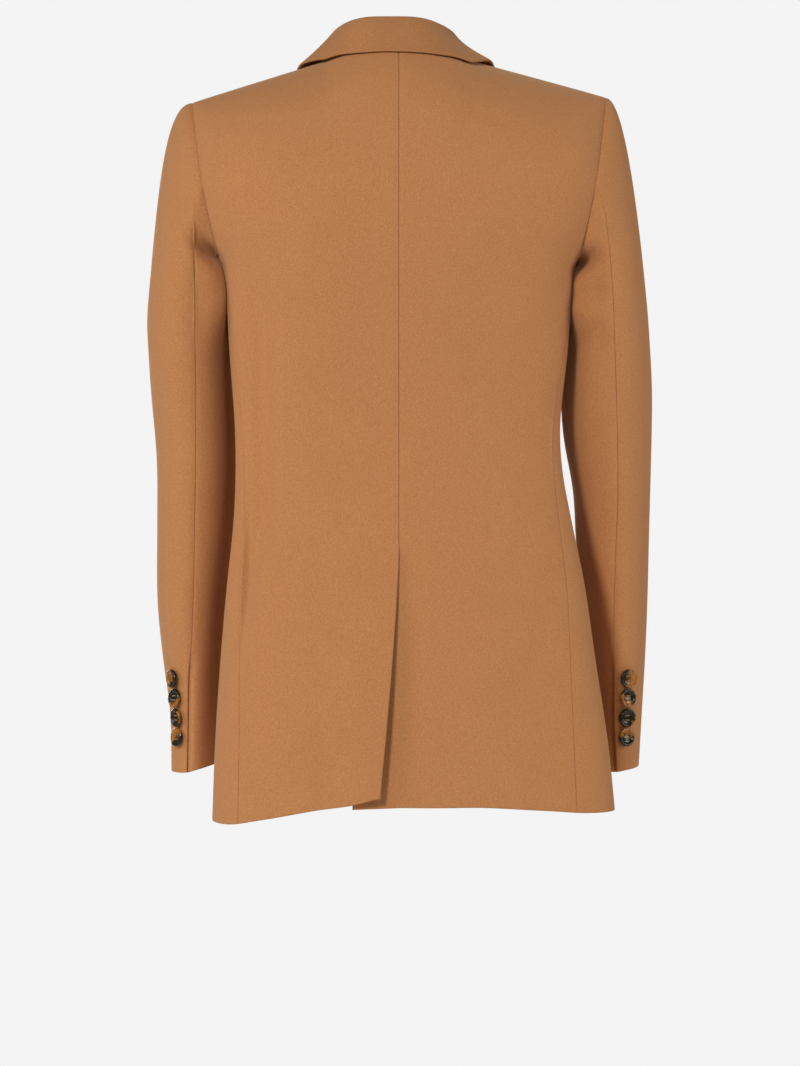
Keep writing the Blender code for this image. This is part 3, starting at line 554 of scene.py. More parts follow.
def lapel_surface(side):
    """The turned-back revers, from the roll line (u = 0) to its outer edge, and up to the gorge."""
    if side == RIGHT:
        foot = (roll_x(BREAK_Z), BREAK_Z)
        foot_edge = (foot[0] + LAPEL_FOOT_WIDTH, BREAK_Z + LAPEL_FOOT_RISE)
    else:
        foot = (roll_x(CROSS_Z + COVERED_FOOT_RISE), CROSS_Z + COVERED_FOOT_RISE)
        edge_z = CROSS_Z - COVERED_EDGE_DROP
        foot_edge = (-roll_x(edge_z) + COVERED_EDGE_WIDTH, edge_z)
    top, tip = (LAPEL_TOP_X, LAPEL_TOP_Z), (LAPEL_TIP_X, LAPEL_TIP_Z)

    def surface(u, v):
        past = column(LAPEL_FOLD, LAPEL_COLUMNS, "past", u, "across")
        off = column(LAPEL_FOLD, LAPEL_COLUMNS, "off", u, "across")
        share = column(LAPEL_FOLD, LAPEL_COLUMNS, "share", u, "across")
        z = lerp(lerp(foot[1], top[1], v), lerp(foot_edge[1], tip[1], v), share)
        near = roll_x(lerp(foot[1], top[1], v))
        far = lerp(foot_edge[0], tip[0], v) + LAPEL_BELLY * math.sin(math.pi * v)
        return front_point(side, lerp(near, far, share) - past, z, off)

    return surface


def collar_row(name, w):
    """A collar curve at w, from -1 at the right front end to 1 at the left one. The edge is given by its
    turn round the shoulder, and how far it stands off the cloth beneath."""
    at = abs(w) * (len(COLLAR_STATIONS) - 1)
    table = [(i,) + row for i, row in enumerate(COLLAR_STATIONS)]
    mirror = dict(zip(COLLAR_COLUMNS, table[1][1:]))
    mirror.update({key: -mirror[key] for key in ("fold_x", "edge_x", "foot_x")})
    mirror["edge_left"], mirror["edge_right"] = mirror["edge_right"], mirror["edge_left"]
    table = [(-1, *mirror.values())] + table
    parts = ("x", "left" if w >= 0 else "right", "off") if name == "edge" else ("x", "y", "z")
    x, y, z = (column(table, ("station",) + COLLAR_COLUMNS, f"{name}_{c}", at, "station") for c in parts)
    shift = 0 if name == "foot" else COLLAR_SHIFT * max(1 - w * w, 0)
    x = math.copysign(x, w) + shift
    return shoulder_point(x, y, z) if name == "edge" else np.array((x, y, z))


def fall_surface(u, v):
    """The top collar: round over the fold (v = 0 inside the neck), then down to its outer edge."""
    fold, edge = collar_row("fold", 2 * u - 1), collar_row("edge", 2 * u - 1)
    out = edge - fold
    out = unit(np.array((out[0], out[1], 0)))
    up = np.array((0, 0, 1))
    turn = math.radians(lerp(FOLD_START, FOLD_END, min(v / FOLD_SHARE, 1)))
    round_top = fold + FOLD_RADIUS * (math.sin(turn) * out + (math.cos(turn) - 1) * up)
    if v <= FOLD_SHARE:
        return round_top
    t = (v - FOLD_SHARE) / (1 - FOLD_SHARE)
    run = np.linalg.norm(edge - round_top)
    leave = (math.cos(turn) * out - math.sin(turn) * up) * run * FALL_LEAVE
    arrive = (edge - round_top) * FALL_ARRIVE
    return hermite(round_top, leave, edge, arrive, t)


def stand_surface(u, v):
    """The collar stand, from the neckline seam up to just under the fold."""
    w = (2 * u - 1) * STAND_REACH
    foot, fold = collar_row("foot", w), collar_row("fold", w)
    top = fold + np.array((0, 0, -STAND_DROP))
    return lerp(foot, top, v)


def neck_axis(point):
    return np.array((0, NECK_MIDDLE_Y, point[2]))


def collar_axis(point):
    """Below the fall, so that its outer face is the one turned up and outwards."""
    return neck_axis(point) - (0, 0, COLLAR_AXIS_DROP)


def sleeve_value(side, name, z):
    return column(SLEEVE_SECTIONS[side], SLEEVE_COLUMNS, name, z)


def sleeve_ring(side, turn, z, tuck=0):
    """The sleeve's outer face at a turn round it: 0 outside, 90 behind, 180 next to the body."""
    outer, inner = sleeve_value(side, "outer", z), sleeve_value(side, "inner", z)
    half_width = (outer - inner) / 2 - tuck
    half_depth = sleeve_value(side, "half_depth", z) - tuck
    around = math.radians(turn)
    across = (outer + inner) / 2 + half_width * math.cos(around)
    return np.array((side * across, sleeve_value(side, "middle_y", z) + half_depth * math.sin(around), z))


def around_armhole(values, turn):
    """A value that is given for the top, the back or front, and the foot of the armhole."""
    top, middle, foot = values
    down = (1 - math.cos(math.radians(turn))) / 2
    return lerp(top, middle, down * 2) if down < 0.5 else lerp(middle, foot, down * 2 - 1)


def sleeve_height(v):
    """The height of a row of the sleeve: below its head it falls from the bicep to the cuff."""
    return level_at((v - SLEEVE_V) / (1 - SLEEVE_V), (BICEP_Z,) + SLEEVE_ROWS) if v > SLEEVE_V else BICEP_Z


def sleeve_point(side, turn, v, tuck=0):
    """The sleeve's outer face: v runs from the armhole, over the head to the bicep, and to the cuff."""
    if v > SLEEVE_V:
        level = sleeve_height(v)
        rise = column(CUFF_HEM_RISE, CUFF_HEM_COLUMNS, SIDE_NAMES[side], turn % 360, "turn")
        eased = 1 - smooth(0, CUFF_HEM_EASE, level - SLEEVE_FOOT_Z)
        return sleeve_ring(side, turn, level + rise * eased, tuck)
    t = v / SLEEVE_V
    start = armhole_point(side, turn)
    reach, fall = (around_armhole(values, turn) for values in (SLEEVE_HEAD_REACH[side], SLEEVE_HEAD_FALL))
    start_out = start + np.array((side * reach, 0, -fall))
    end = sleeve_ring(side, turn, BICEP_Z, tuck)
    drop = around_armhole(SLEEVE_HEAD_DROP, turn)
    lean = SLEEVE_HEAD_LEAN * drop * (1 + math.cos(math.radians(turn))) / 2
    end_in = end + np.array((-side * lean, 0, drop))
    return (
        (1 - t) ** 3 * start + 3 * t * (1 - t) ** 2 * start_out + 3 * t**2 * (1 - t) * end_in + t**3 * end
    )


def back_seam_turn(side, v):
    """Where the sleeve's back seam lies, as a turn round the sleeve."""
    if v <= SLEEVE_V:
        return lerp(BACK_SEAM_TURN, sleeve_value(side, "back_seam", BICEP_Z), smooth(0, SLEEVE_V, v))
    return sleeve_value(side, "back_seam", sleeve_height(v))


def sleeve_axis(side):
    """The middle line of the sleeve, and inside its head a point well below the cloth."""

    def axis(point):
        z = min(point[2], BICEP_Z)
        outer, inner = sleeve_value(side, "outer", z), sleeve_value(side, "inner", z)
        height = point[2] if point[2] < BICEP_Z else min(point[2] - HEAD_AXIS_DROP, HEAD_AXIS_TOP_Z)
        return np.array((side * (outer + inner) / 2, sleeve_value(side, "middle_y", z), height))

    return axis


# ---------------------------------------------------------------- cloth as fine shells
CONTROL_ACROSS, CONTROL_ALONG = 37, 61  # points that a piece takes from the form, across and along it
EDGE_STEPS = (0, 0.08, 0.3, 0.65, 1.0, 1.25, 2.2, 3.6)  # the grid's first distances from an edge
EDGE_ROUND = 1.2  # radius of a free edge
SEAM_ROUND = 0.8  # radius of the outer face where it turns into a seam
SEAM_OVER = 0.32  # how far each side of a seam reaches over it, so that no light comes through
BODY_OVER = 0.5  # the same at the armhole, for the body's pieces
ARMHOLE_OVER = 1.0  # and for a sleeve's top, which is sewn in under the body's edge
FOOT_RIM_HEIGHT = 30  # how high above the armhole's foot a side panel's top edge rises
TURNED_IN = (6, 4, 2)  # the rows of a sleeve's seam allowance, which turns in towards (TURN_X, 0, TURN_Z)
TURN_X, TURN_Z = 110, -130
SEAM_DIP = 0.7  # how far the pressed cloth sinks towards a seam
SEAM_DIP_WIDTH = 2.6
FAR = 1e6  # the distance to an edge that a piece doesn't have
CREASE_FROM_SEAM = 2.5  # the creases die away within this distance of a seam
PITCH = 3.3  # the grid's pitch away from the edges
TURNED_PITCH = 2.6  # and that of the collar and lapels
MEASURE_STEPS = 4  # steps to a control point in which a curve's length is measured


def cubic(values, at):
    """Rows of values read at fractional positions, along smooth curves through them."""
    last = len(values) - 1
    low = np.clip(np.floor(at).astype(int), 0, last - 1)
    t = (at - low).reshape((-1,) + (1,) * (values.ndim - 1))
    at_start, at_end = low.reshape(t.shape) == 0, low.reshape(t.shape) == last - 1
    before = np.where(at_start, 2 * values[0] - values[1], values[np.maximum(low - 1, 0)])
    after = np.where(at_end, 2 * values[last] - values[last - 1], values[np.minimum(low + 2, last)])
    start, end = values[low], values[low + 1]
    lean, fall = (end - before) / 2, (after - start) / 2
    return hermite(start, lean, end, fall, t)


def steps_of(points, axis=0):
    """The distances from point to point along one axis of a grid."""
    return np.linalg.norm(np.diff(points, axis=axis), axis=-1)


def edge_spaced(length, count):
    """Distances along a line: close together at both ends, even between them."""
    steps = np.array(EDGE_STEPS)
    middle = np.linspace(steps[-1], length - steps[-1], count)[1:-1]
    return np.concatenate([steps, middle, length - steps[::-1]])


def respaced(curves, count):
    """Each curve of points (the first axis runs along it) read again at edge_spaced distances."""
    fine = np.arange(0, (len(curves) - 1) * MEASURE_STEPS + 1) / MEASURE_STEPS
    steps = steps_of(cubic(curves, fine))
    out, gone = [], []
    for c in range(curves.shape[1]):
        run = np.concatenate([[0], np.cumsum(steps[:, c])])
        wanted = edge_spaced(run[-1], count)
        out.append(cubic(curves[:, c], np.interp(wanted, run, fine)))
        gone.append(np.minimum(wanted, run[-1] - wanted))
    return np.stack(out, axis=1), np.stack(gone, axis=1)


def normals_of(points):
    along = np.gradient(points, axis=0)
    across = np.gradient(points, axis=1)
    along[0], along[-1] = along[2], along[-3]
    across[:, 0], across[:, -1] = across[:, 2], across[:, -3]
    normals = np.cross(across, along)
    return normals / np.linalg.norm(normals, axis=-1, keepdims=True)


def control_grid(surface):
    """Points of the form, rows from v = 0 to v = 1."""
    us = np.linspace(0, 1, CONTROL_ACROSS)
    vs = np.linspace(0, 1, CONTROL_ALONG)
    return np.array([[surface(float(u), float(v)) for u in us] for v in vs])


def smoothed(curves):
    """The control points relaxed along v, which takes the ripple out of them; the ends stay."""
    inner = (curves[:-2] + 2 * curves[1:-1] + curves[2:]) / 4
    return np.concatenate([curves[:1], inner, curves[-1:]])


def shell(outer, normals, edge_distance, rounding):
    """A closed shell: its outer face is rounded into the edges, where the inner face meets it in one line."""
    rows, across = outer.shape[:2]

    def rounded(radius):
        near = np.clip(edge_distance / radius, 0, 1)
        return np.sqrt(np.maximum(1 - (1 - near) ** 2, 0))

    top_points = outer - normals * (rounding * (1 - rounded(rounding)))[..., None]
    bottom_points = outer - normals * (rounding + (WALL - rounding) * rounded(EDGE_ROUND))[..., None]
    index = np.arange(rows * across).reshape(rows, across)
    inside = index.copy()
    inside[1:-1, 1:-1] = rows * across + np.arange((rows - 2) * (across - 2)).reshape(rows - 2, across - 2)
    points = np.concatenate([top_points.reshape(-1, 3), bottom_points[1:-1, 1:-1].reshape(-1, 3)])

    def quads(grid, turned):
        a, b, c, d = grid[:-1, :-1], grid[:-1, 1:], grid[1:, 1:], grid[1:, :-1]
        corners = (d, c, b, a) if turned else (a, b, c, d)
        return np.stack(corners, axis=-1).reshape(-1, 4)

    faces = np.concatenate([quads(index, False), quads(inside, True)])
    return points, faces


# ---------------------------------------------------------------- creases, placed one by one
# They are sorted by where they lie, which is the sleeves, the body (all that is no sleeve) or one node, and
# by the side that they are seen from. Each is a soft trough (depth above 0) or ridge (below 0) along a line,
# fading to both ends. A row gives the line's x1, z1, x2 and z2, how far the crease spreads, and its depth.
CREASES = {
    ("sleeve", "back"): (
        (204, -150, 176, -166, 7, 4.0),
        (190, -182, 178, -206, 8, -2.5),
        (244, -118, 196, -142, 9, 2.3),
        (244, -140, 206, -166, 12, -1.6),
        (206, -190, 196, -262, 14, 1.3),
        (-196, -172, -166, -186, 8, 4.0),
        (-200, -206, -160, -216, 9, 5.5),
        (-196, -226, -176, -236, 9, -2.0),
        (-200, -244, -158, -262, 11, 4.5),
        (226, -330, 208, -372, 18, 1.2),
        (-200, -250, -188, -300, 14, 1.6),
        (-232, -318, -210, -352, 18, 1.2),
    ),
    ("sleeve", "front"): (
        (190, -160, 170, -190, 9, 6.0),
        (-188, -162, -170, -192, 9, 6.0),
        (216, -300, 190, -336, 16, 2.4),
        (214, -352, 194, -372, 14, 1.8),
        (-222, -305, -196, -338, 16, 2.4),
        (-218, -356, -200, -377, 14, 1.8),
    ),
    ("body", "back"): (
        (136, -170, 128, -450, 13, 9.0),
        (126, -380, 158, -560, 12, 7.0),
        (118, -260, 108, -420, 30, -1.0),
        (-160, -200, -134, -300, 20, 2.0),
        (-150, -300, -128, -410, 22, 1.6),
        (60, -20, 95, -120, 34, 1.2),
        (-58, -20, -92, -115, 34, 1.2),
        (120, -560, 96, -690, 34, -1.8),
        (-70, -520, -96, -690, 38, -1.6),
        (-130, -480, -150, -660, 26, 1.4),
    ),
    ("back_right", "back"): (
        (3, -476, 30, -840, 19, 6.0),
    ),
    ("body", "front"): (
        (150, -170, 105, -250, 26, 2.0),
        (-150, -172, -108, -255, 26, 2.0),
        (95, -520, 118, -690, 36, -1.6),
        (-100, -500, -125, -690, 36, -1.8),
    ),
}
CREASE_END = 0.03  # the share of its length at which a crease has reached its faintest
CREASE_FADE = 0.8
CREASE_FACING, CREASE_TURNED = 2, 0.3  # how fast it fades where the cloth turns away
# The dark hollow under each arm: its height at the body's edge, its rise outwards, its half height, width
# and depth.
HOLLOW_COLUMNS = ("z", "slope", "half_height", "width", "depth")
HOLLOWS = {LEFT: (-174, 0.45, 9.5, 11, 24), RIGHT: (-184, 0.1, 10, 11, 24)}
HOLLOW_INTO_BODY = 6  # how far over the body's edge it reaches
HOLLOW_FROM_Y, HOLLOW_FADE = -5, 15


def beyond_body(points, side):
    """How far out the points lie from the body's widest place at their height."""
    levels = [row[0] for row in BODY_SECTIONS]
    widths = [row[1 if side == LEFT else 2] for row in BODY_SECTIONS]
    return side * points[..., 0] - np.interp(points[..., 2], levels, widths)


def hollowed(points):
    """How far the cloth is drawn forwards in the hollows under the arms."""
    drawn = np.zeros(points.shape[:2])
    behind = np.clip((points[..., 1] - HOLLOW_FROM_Y) / HOLLOW_FADE, 0, 1)
    for side in (LEFT, RIGHT):
        here = dict(zip(HOLLOW_COLUMNS, HOLLOWS[side]))
        gap = beyond_body(points, side)
        across = np.where(gap > 0, gap / here["width"], gap / HOLLOW_INTO_BODY)
        off = (points[..., 2] - here["z"] - here["slope"] * gap) / here["half_height"]
        drawn += here["depth"] * behind * np.exp(-(across**2) - off**2)
    return drawn


def creased(points, normals, node):
    """How far the creases that lie on this piece move each point along its normal."""
    moved = np.zeros(points.shape[:2])
    for (on, seen), creases in CREASES.items():
        if on not in node and (on != "body" or "sleeve" in node):
            continue
        facing = normals[..., 1] if seen == "back" else -normals[..., 1]
        shown = np.clip(facing * CREASE_FACING - CREASE_TURNED, 0, 1)
        for x1, z1, x2, z2, ease, depth in creases:
            start, run = np.array((x1, z1)), np.array((x2 - x1, z2 - z1))
            here = points[..., (0, 2)] - start
            share = np.clip(here @ run / (run @ run), 0, 1)
            away = np.linalg.norm(here - share[..., None] * run, axis=-1)
            fade = np.sin(np.pi * np.clip(share, CREASE_END, 1 - CREASE_END)) ** CREASE_FADE
            moved -= depth * fade * shown * np.exp(-((away / ease) ** 2))
    return moved


def seams_of(across_gone, along_gone, sewn):
    """Distances to the nearest sewn edge and to the nearest free one. sewn names the sewn edges: a and z are
    the first and last columns, b and t the first and last rows. A sleeve's rows begin at its armhole."""
    rows, columns = across_gone.shape
    left = np.arange(columns)[None, :] < columns // 2
    low = np.arange(rows)[:, None] < rows // 2
    sides = (("a", left, across_gone), ("z", ~left, across_gone))
    ends = (("b", low, along_gone), ("t", ~low, along_gone))
    seam, free = np.full((rows, columns), FAR), np.full((rows, columns), FAR)
    for mark, part, gone in sides + ends:
        nearest = seam if mark in sewn else free
        np.minimum(nearest, np.where(part, gone, FAR), out=nearest)
    return seam, free


def mesh_object(name, points, faces, material):
    mesh = bpy.data.meshes.new(name)
    mesh.from_pydata((points * MM).tolist(), [], faces.tolist() if hasattr(faces, "tolist") else faces)
    shape = bmesh.new()
    shape.from_mesh(mesh)
    bmesh.ops.recalc_face_normals(shape, faces=shape.faces)
    shape.to_mesh(mesh)
    shape.free()
    mesh.shade_smooth()
    mesh.materials.append(material)
    made = bpy.data.objects.new(name, mesh)
    bpy.context.scene.collection.objects.link(made)
    return made


def flat_size(points):
    """The cloth's width and length as cut, in metres: the longest way across and the longest way along."""
    across, along = steps_of(points, 1).sum(axis=1), steps_of(points).sum(axis=0)
    return float(across.max() * MM), float(along.max() * MM)


def flat_area(points):
    """The area of the cloth, in square metres."""
    a, b = points[1:, 1:] - points[:-1, :-1], points[1:, :-1] - points[:-1, 1:]
    return float(np.linalg.norm(np.cross(a, b), axis=-1).sum() / 2 * MM * MM)


def fine_grid(surface, pitch):
    """Points on the form, each one's distance from the nearer side edge, and its distance from the foot."""
    control = smoothed(control_grid(surface))
    points, _ = respaced(control, int(steps_of(control).sum(axis=0).max() / pitch))
    widths = steps_of(points, 1).sum(axis=1)
    turned, across_gone = respaced(points.transpose(1, 0, 2), int(widths.max() / pitch))
    points = turned.transpose(1, 0, 2)
    run = np.concatenate([np.zeros((1, points.shape[1])), np.cumsum(steps_of(points), axis=0)])
    return points, across_gone.T, run


def outward_normals(points, away_from):
    """The grid's normals, turned away from the piece's axis."""
    normals = normals_of(points)
    middle = tuple(n // 2 for n in points.shape[:2])
    outwards = points[middle] - away_from(points[middle])
    return -normals if np.dot(normals[middle], outwards) < 0 else normals


def cloth_piece(
    name, surface, node, away_from, sewn="", hangs_from=(), held="hung", pitch=PITCH, shifted=None, painted_shade_factor=1.0
):
    """A cloth piece of the coat, standing for the solid of the same form."""
    points, across_gone, run = fine_grid(surface, pitch)
    normals = outward_normals(points, away_from)
    seam, free = seams_of(across_gone, np.minimum(run, run[-1] - run), sewn)
    sewn_flat = 1 - np.exp(-((seam / CREASE_FROM_SEAM) ** 2))
    moved = sewn_flat * creased(points, normals, node) - SEAM_DIP * np.exp(-seam / SEAM_DIP_WIDTH)
    outer = points + normals * moved[..., None]
    outer[..., 1] -= hollowed(points)
    if shifted:
        outer = outer + shifted(points, normals, sewn_flat)
    rounding = np.where(seam <= free, SEAM_ROUND, EDGE_ROUND)
    normals = normals_towards(outer, normals)
    size, area = flat_size(outer), flat_area(outer)
    outer, edges = reached_over(outer, sewn), np.minimum(seam, free)
    if "b" in sewn:
        edges = np.minimum(across_gone, run[-1] - run)
        outer, normals, edges, rounding = turned_in(outer, normals, edges, rounding)
    # a factor below 1 darkens the wool as painted shade; the collar's pieces get one
    made = mesh_object(name, *shell(outer, normals, edges, rounding), wool(painted_shade_factor))
    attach(made, "root")
    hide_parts(node)
    return made


def reached_over(points, sewn):
    """The rims of the sewn edges, moved on over the seam: a little more where body and sleeve meet."""
    points = points.copy()
    ends = {"a": (points[:, 0], points[:, 3]), "z": (points[:, -1], points[:, -4])}
    ends.update({"b": (points[0], points[3]), "t": (points[-1], points[-4])})
    for mark in sewn:
        rim, behind = ends[mark]
        step = rim - behind
        over = np.full(len(rim), ARMHOLE_OVER if mark == "b" else SEAM_OVER)
        if "b" not in sewn and mark in "zt":
            highest = 0 if mark == "z" else ARMHOLE_FOOT_Z + FOOT_RIM_HEIGHT
            innermost, lowest = armhole_x(ARMHOLE_FOOT_Z) - 1, ARMHOLE_FOOT_Z - 2
            armhole = (np.abs(rim[:, 0]) > innermost) & (rim[:, 2] > lowest)
            over[armhole & (rim[:, 2] < highest)] = BODY_OVER
        rim += step / np.linalg.norm(step, axis=-1, keepdims=True) * over[:, None]
    return points


def turned_in(points, normals, edges, rounding):
    """A sleeve's top edge with its seam allowance, which turns in under the body's edge."""
    side = np.sign(points[0, :, 0].mean())
    inwards = np.array((side * TURN_X, 0, TURN_Z)) - points[0]
    inwards /= np.linalg.norm(inwards, axis=-1, keepdims=True)
    allowance = np.stack([points[0] + inwards * far for far in TURNED_IN])
    points = np.concatenate([allowance, points])
    like = np.concatenate([np.stack([normals[0]] * len(TURNED_IN)), normals])
    turned = TURNED_IN[0] - np.array(TURNED_IN, float)[:, None]
    edges = np.concatenate([np.minimum(turned, edges[0]), edges])
    rounding = np.concatenate([np.full((len(TURNED_IN), points.shape[1]), EDGE_ROUND), rounding])
    return points, normals_towards(points, like), edges, rounding


def normals_towards(points, like):
    """The grid's normals, each on the same side as another one."""
    normals = normals_of(points)
    return np.where((normals * like).sum(axis=-1, keepdims=True) < 0, -normals, normals)


# ---------------------------------------------------------------- materials
WOOL_DARK = (0.34, 0.132, 0.038)
WOOL_MID = (0.43, 0.182, 0.066)
WOOL_LIGHT = (0.53, 0.240, 0.098)
COLLAR_PAINTED_SHADE = 0.86  # painted shade: the collar's wool is darkened by this share, standing in for the lesser light on its upturned fall
WOOL_SHEEN = (0.9, 0.62, 0.38, 1)
NAP_SCALE = 1500  # bumps to a metre
FLECK_SCALE = 1050
TWILL_SCALE = 430
CLOUD_SCALE = 26
FLECK_SHARE = 0.62  # of the flecks, against the clouds
THREAD_DARK = (0.20, 0.088, 0.035)
THREAD_LIGHT = (0.36, 0.165, 0.066)
THREAD_SCALE = 5200
HORN_BLACK = (0.004, 0.0035, 0.003)
HORN_GREEN = (0.020, 0.018, 0.006)
HORN_BROWN = (0.060, 0.024, 0.007)
HORN_AMBER = (0.36, 0.135, 0.022)
HORN_CLOUD_SCALE, HORN_STREAK_SCALE = 210, 640
AMBER_RISE = 60  # how fast the amber patch comes in across the button, to a metre


class Nodes:
    """A material's node tree, built up by name."""

    def __init__(self, name):
        self.material = bpy.data.materials.new(name)
        self.material.use_nodes = True
        self.tree = self.material.node_tree
        self.shader = self.tree.nodes["Principled BSDF"]

    def fill(self, node, values):
        """Gives each input its value, or links it to another node's output."""
        for key, value in values.items():
            if isinstance(value, bpy.types.NodeSocket):
                self.tree.links.new(value, node.inputs[key])
            else:
                node.inputs[key].default_value = value

    def add(self, kind, values, **settings):
        node = self.tree.nodes.new(kind)
        for key, value in settings.items():
            setattr(node, key, value)
        self.fill(node, values)
        return node

    def place(self, turn=(0, 0, 0), scale=(1, 1, 1), shift=(0, 0, 0)):
        """Object coordinates, turned, stretched and shifted."""
        own = self.add("ShaderNodeTexCoord", {}).outputs["Object"]
        turned = [math.radians(t) for t in turn]
        values = {"Location": shift, "Rotation": turned, "Scale": scale, "Vector": own}
        return self.add("ShaderNodeMapping", values).outputs["Vector"]

    def noise(self, scale, detail, roughness, where=None, distortion=0.0):
        values = {"Scale": scale, "Detail": detail, "Roughness": roughness, "Distortion": distortion}
        return self.add("ShaderNodeTexNoise", {**values, "Vector": where or self.place()}).outputs["Fac"]

    def ramp(self, value, *stops):
        """stops are (position, colour) pairs."""
        node = self.add("ShaderNodeValToRGB", {"Fac": value})
        elements = node.color_ramp.elements
        while len(elements) < len(stops):
            elements.new(0.5)
        for element, (position, colour) in zip(elements, stops):
            element.position = position
            element.color = (*colour, 1)
        return node.outputs["Color"]

    def mixed(self, share, first, second):
        """Two colours mixed; they and the share go to the mixing node's colour inputs."""
        return self.add("ShaderNodeMix", {0: share, 6: first, 7: second}, data_type="RGBA").outputs[2]

    def bump(self, height, distance, strength, **after):
        """after is the normal that the bumps are added to, if there is one, as Normal."""
        values = {"Distance": distance, "Strength": strength, "Height": height, **after}
        return self.add("ShaderNodeBump", values).outputs["Normal"]


@cache
def wool(painted_shade_factor):
    """Felted camel coating: a short nap, flecked and faintly clouded, with a soft twill beneath."""
    look = Nodes(f"camel_wool_{painted_shade_factor * 100:.0f}")
    # painted shade: a factor below 1 darkens all three wool colours
    dark, mid, light = ([c * painted_shade_factor for c in colour] for colour in (WOOL_DARK, WOOL_MID, WOOL_LIGHT))
    clouds = look.noise(CLOUD_SCALE, 4, 0.55)
    flecks = look.noise(FLECK_SCALE, 3, 0.7, look.place((0, 38, 0), (1, 1, 0.7)))
    nap = look.noise(NAP_SCALE, 4, 0.75)
    base = look.ramp(clouds, (0.3, mid), (0.7, [lerp(a, b, 0.3) for a, b in zip(mid, light)]))
    fleck = look.ramp(flecks, (0.34, dark), (0.5, mid), (0.66, light))
    twill = look.noise(TWILL_SCALE, 2, 0.5, look.place((0, 42, 0), (1, 1, 0.18)))
    normal = look.bump(twill, 0.0006, 0.30)
    normal = look.bump(flecks, 0.0008, 0.35, Normal=normal)
    normal = look.bump(nap, 0.0004, 0.45, Normal=normal)
    look.fill(look.shader, {"Base Color": look.mixed(FLECK_SHARE, base, fleck), "Normal": normal})
    look.fill(look.shader, {"Roughness": 0.95, "Specular IOR Level": 0.15})
    look.fill(look.shader, {"Sheen Weight": 0.28, "Sheen Roughness": 0.5, "Sheen Tint": WOOL_SHEEN})
    return look.material


@cache
def thread():
    """The twist that the buttons and buttonholes are sewn with."""
    look = Nodes("button_thread")
    strands = look.noise(THREAD_SCALE, 2, 0.5, look.place((20, 10, 0), (1, 1, 0.3)))
    colour = look.ramp(strands, (0.3, THREAD_DARK), (0.7, THREAD_LIGHT))
    look.fill(look.shader, {"Base Color": colour, "Normal": look.bump(strands, 0.0002, 0.6)})
    look.fill(look.shader, {"Roughness": 0.7, "Sheen Weight": 0.1})
    return look.material


def horn(name, amber_turn, amber_share):
    """Mottled tortoiseshell: near-black with green, and an amber patch on one side.
    amber_turn is where the patch lies, in degrees up from the left as one looks at the face; a greater
    amber_share makes it larger."""
    look = Nodes(name)
    own = (amber_turn * 0.01, amber_share, amber_turn * 0.003)
    cloud = look.noise(HORN_CLOUD_SCALE, 3, 0.6, look.place(shift=own), 1.2)
    streak = look.noise(HORN_STREAK_SCALE, 3, 0.6, look.place((0, 30, 0), (1, 1, 0.4), own), 0.8)
    dark = look.ramp(streak, (0.34, HORN_BLACK), (0.55, HORN_GREEN), (0.72, HORN_BROWN))
    amber = look.ramp(streak, (0.3, HORN_BROWN), (0.5, HORN_AMBER), (0.72, HORN_AMBER))
    across = look.add("ShaderNodeSeparateXYZ", {0: look.place((0, amber_turn, 0))}).outputs["X"]
    side = look.add("ShaderNodeMath", {0: across, 1: AMBER_RISE, 2: cloud}, operation="MULTIPLY_ADD")
    share = look.ramp(side.outputs[0], (0.66 - amber_share, (0, 0, 0)), (0.86 - amber_share, (1, 1, 1)))
    colour = look.mixed(share, dark, amber)
    look.fill(look.shader, {"Base Color": colour, "Normal": look.bump(streak, 0.0001, 0.15)})
    look.fill(look.shader, {"Roughness": 0.09, "Specular IOR Level": 0.22})
    look.fill(look.shader, {"Coat Weight": 0.15, "Coat Roughness": 0.03})
    return look.material


# ---------------------------------------------------------------- buttons and buttonholes
RING_SIDES = 72
# A button's profile: the middle of its face, the dish and the rim, then the rim's outer side and the back.
# Each pair is a share of its radius and a share of its thickness.
RIM_PROFILE = (
    *((0, 0.50), (0.2, 0.51), (0.35, 0.54), (0.5, 0.60), (0.6, 0.67), (0.68, 0.80), (0.76, 0.94)),
    *((0.84, 1.0), (0.92, 0.94), (0.98, 0.76), (1.0, 0.52)),
    *((0.97, 0.3), (0.9, 0.12), (0.76, 0.02), (0.4, 0), (0, 0)),
)
PROFILE_STEPS = 4
HOLE_AT = 0.235  # the holes' distance from the middle, and their radius, as shares of the button's radius
HOLE_RADIUS = 0.115
HOLE_DEPTH = 0.46  # as a share of the thickness
HOLE_BRIM, HOLE_WALL = 1.12, 0.24  # where a hole's wall begins and how wide it is, as shares of its radius


def rim_profile():
    table = np.array(RIM_PROFILE, float)
    return cubic(table, np.arange(0, (len(table) - 1) * PROFILE_STEPS + 1) / PROFILE_STEPS)


def hole_centres(radius):
    """The middles of a button's four holes, on its face."""
    at = radius * HOLE_AT
    return [(x * at, z * at) for x in (-1, 1) for z in (-1, 1)]


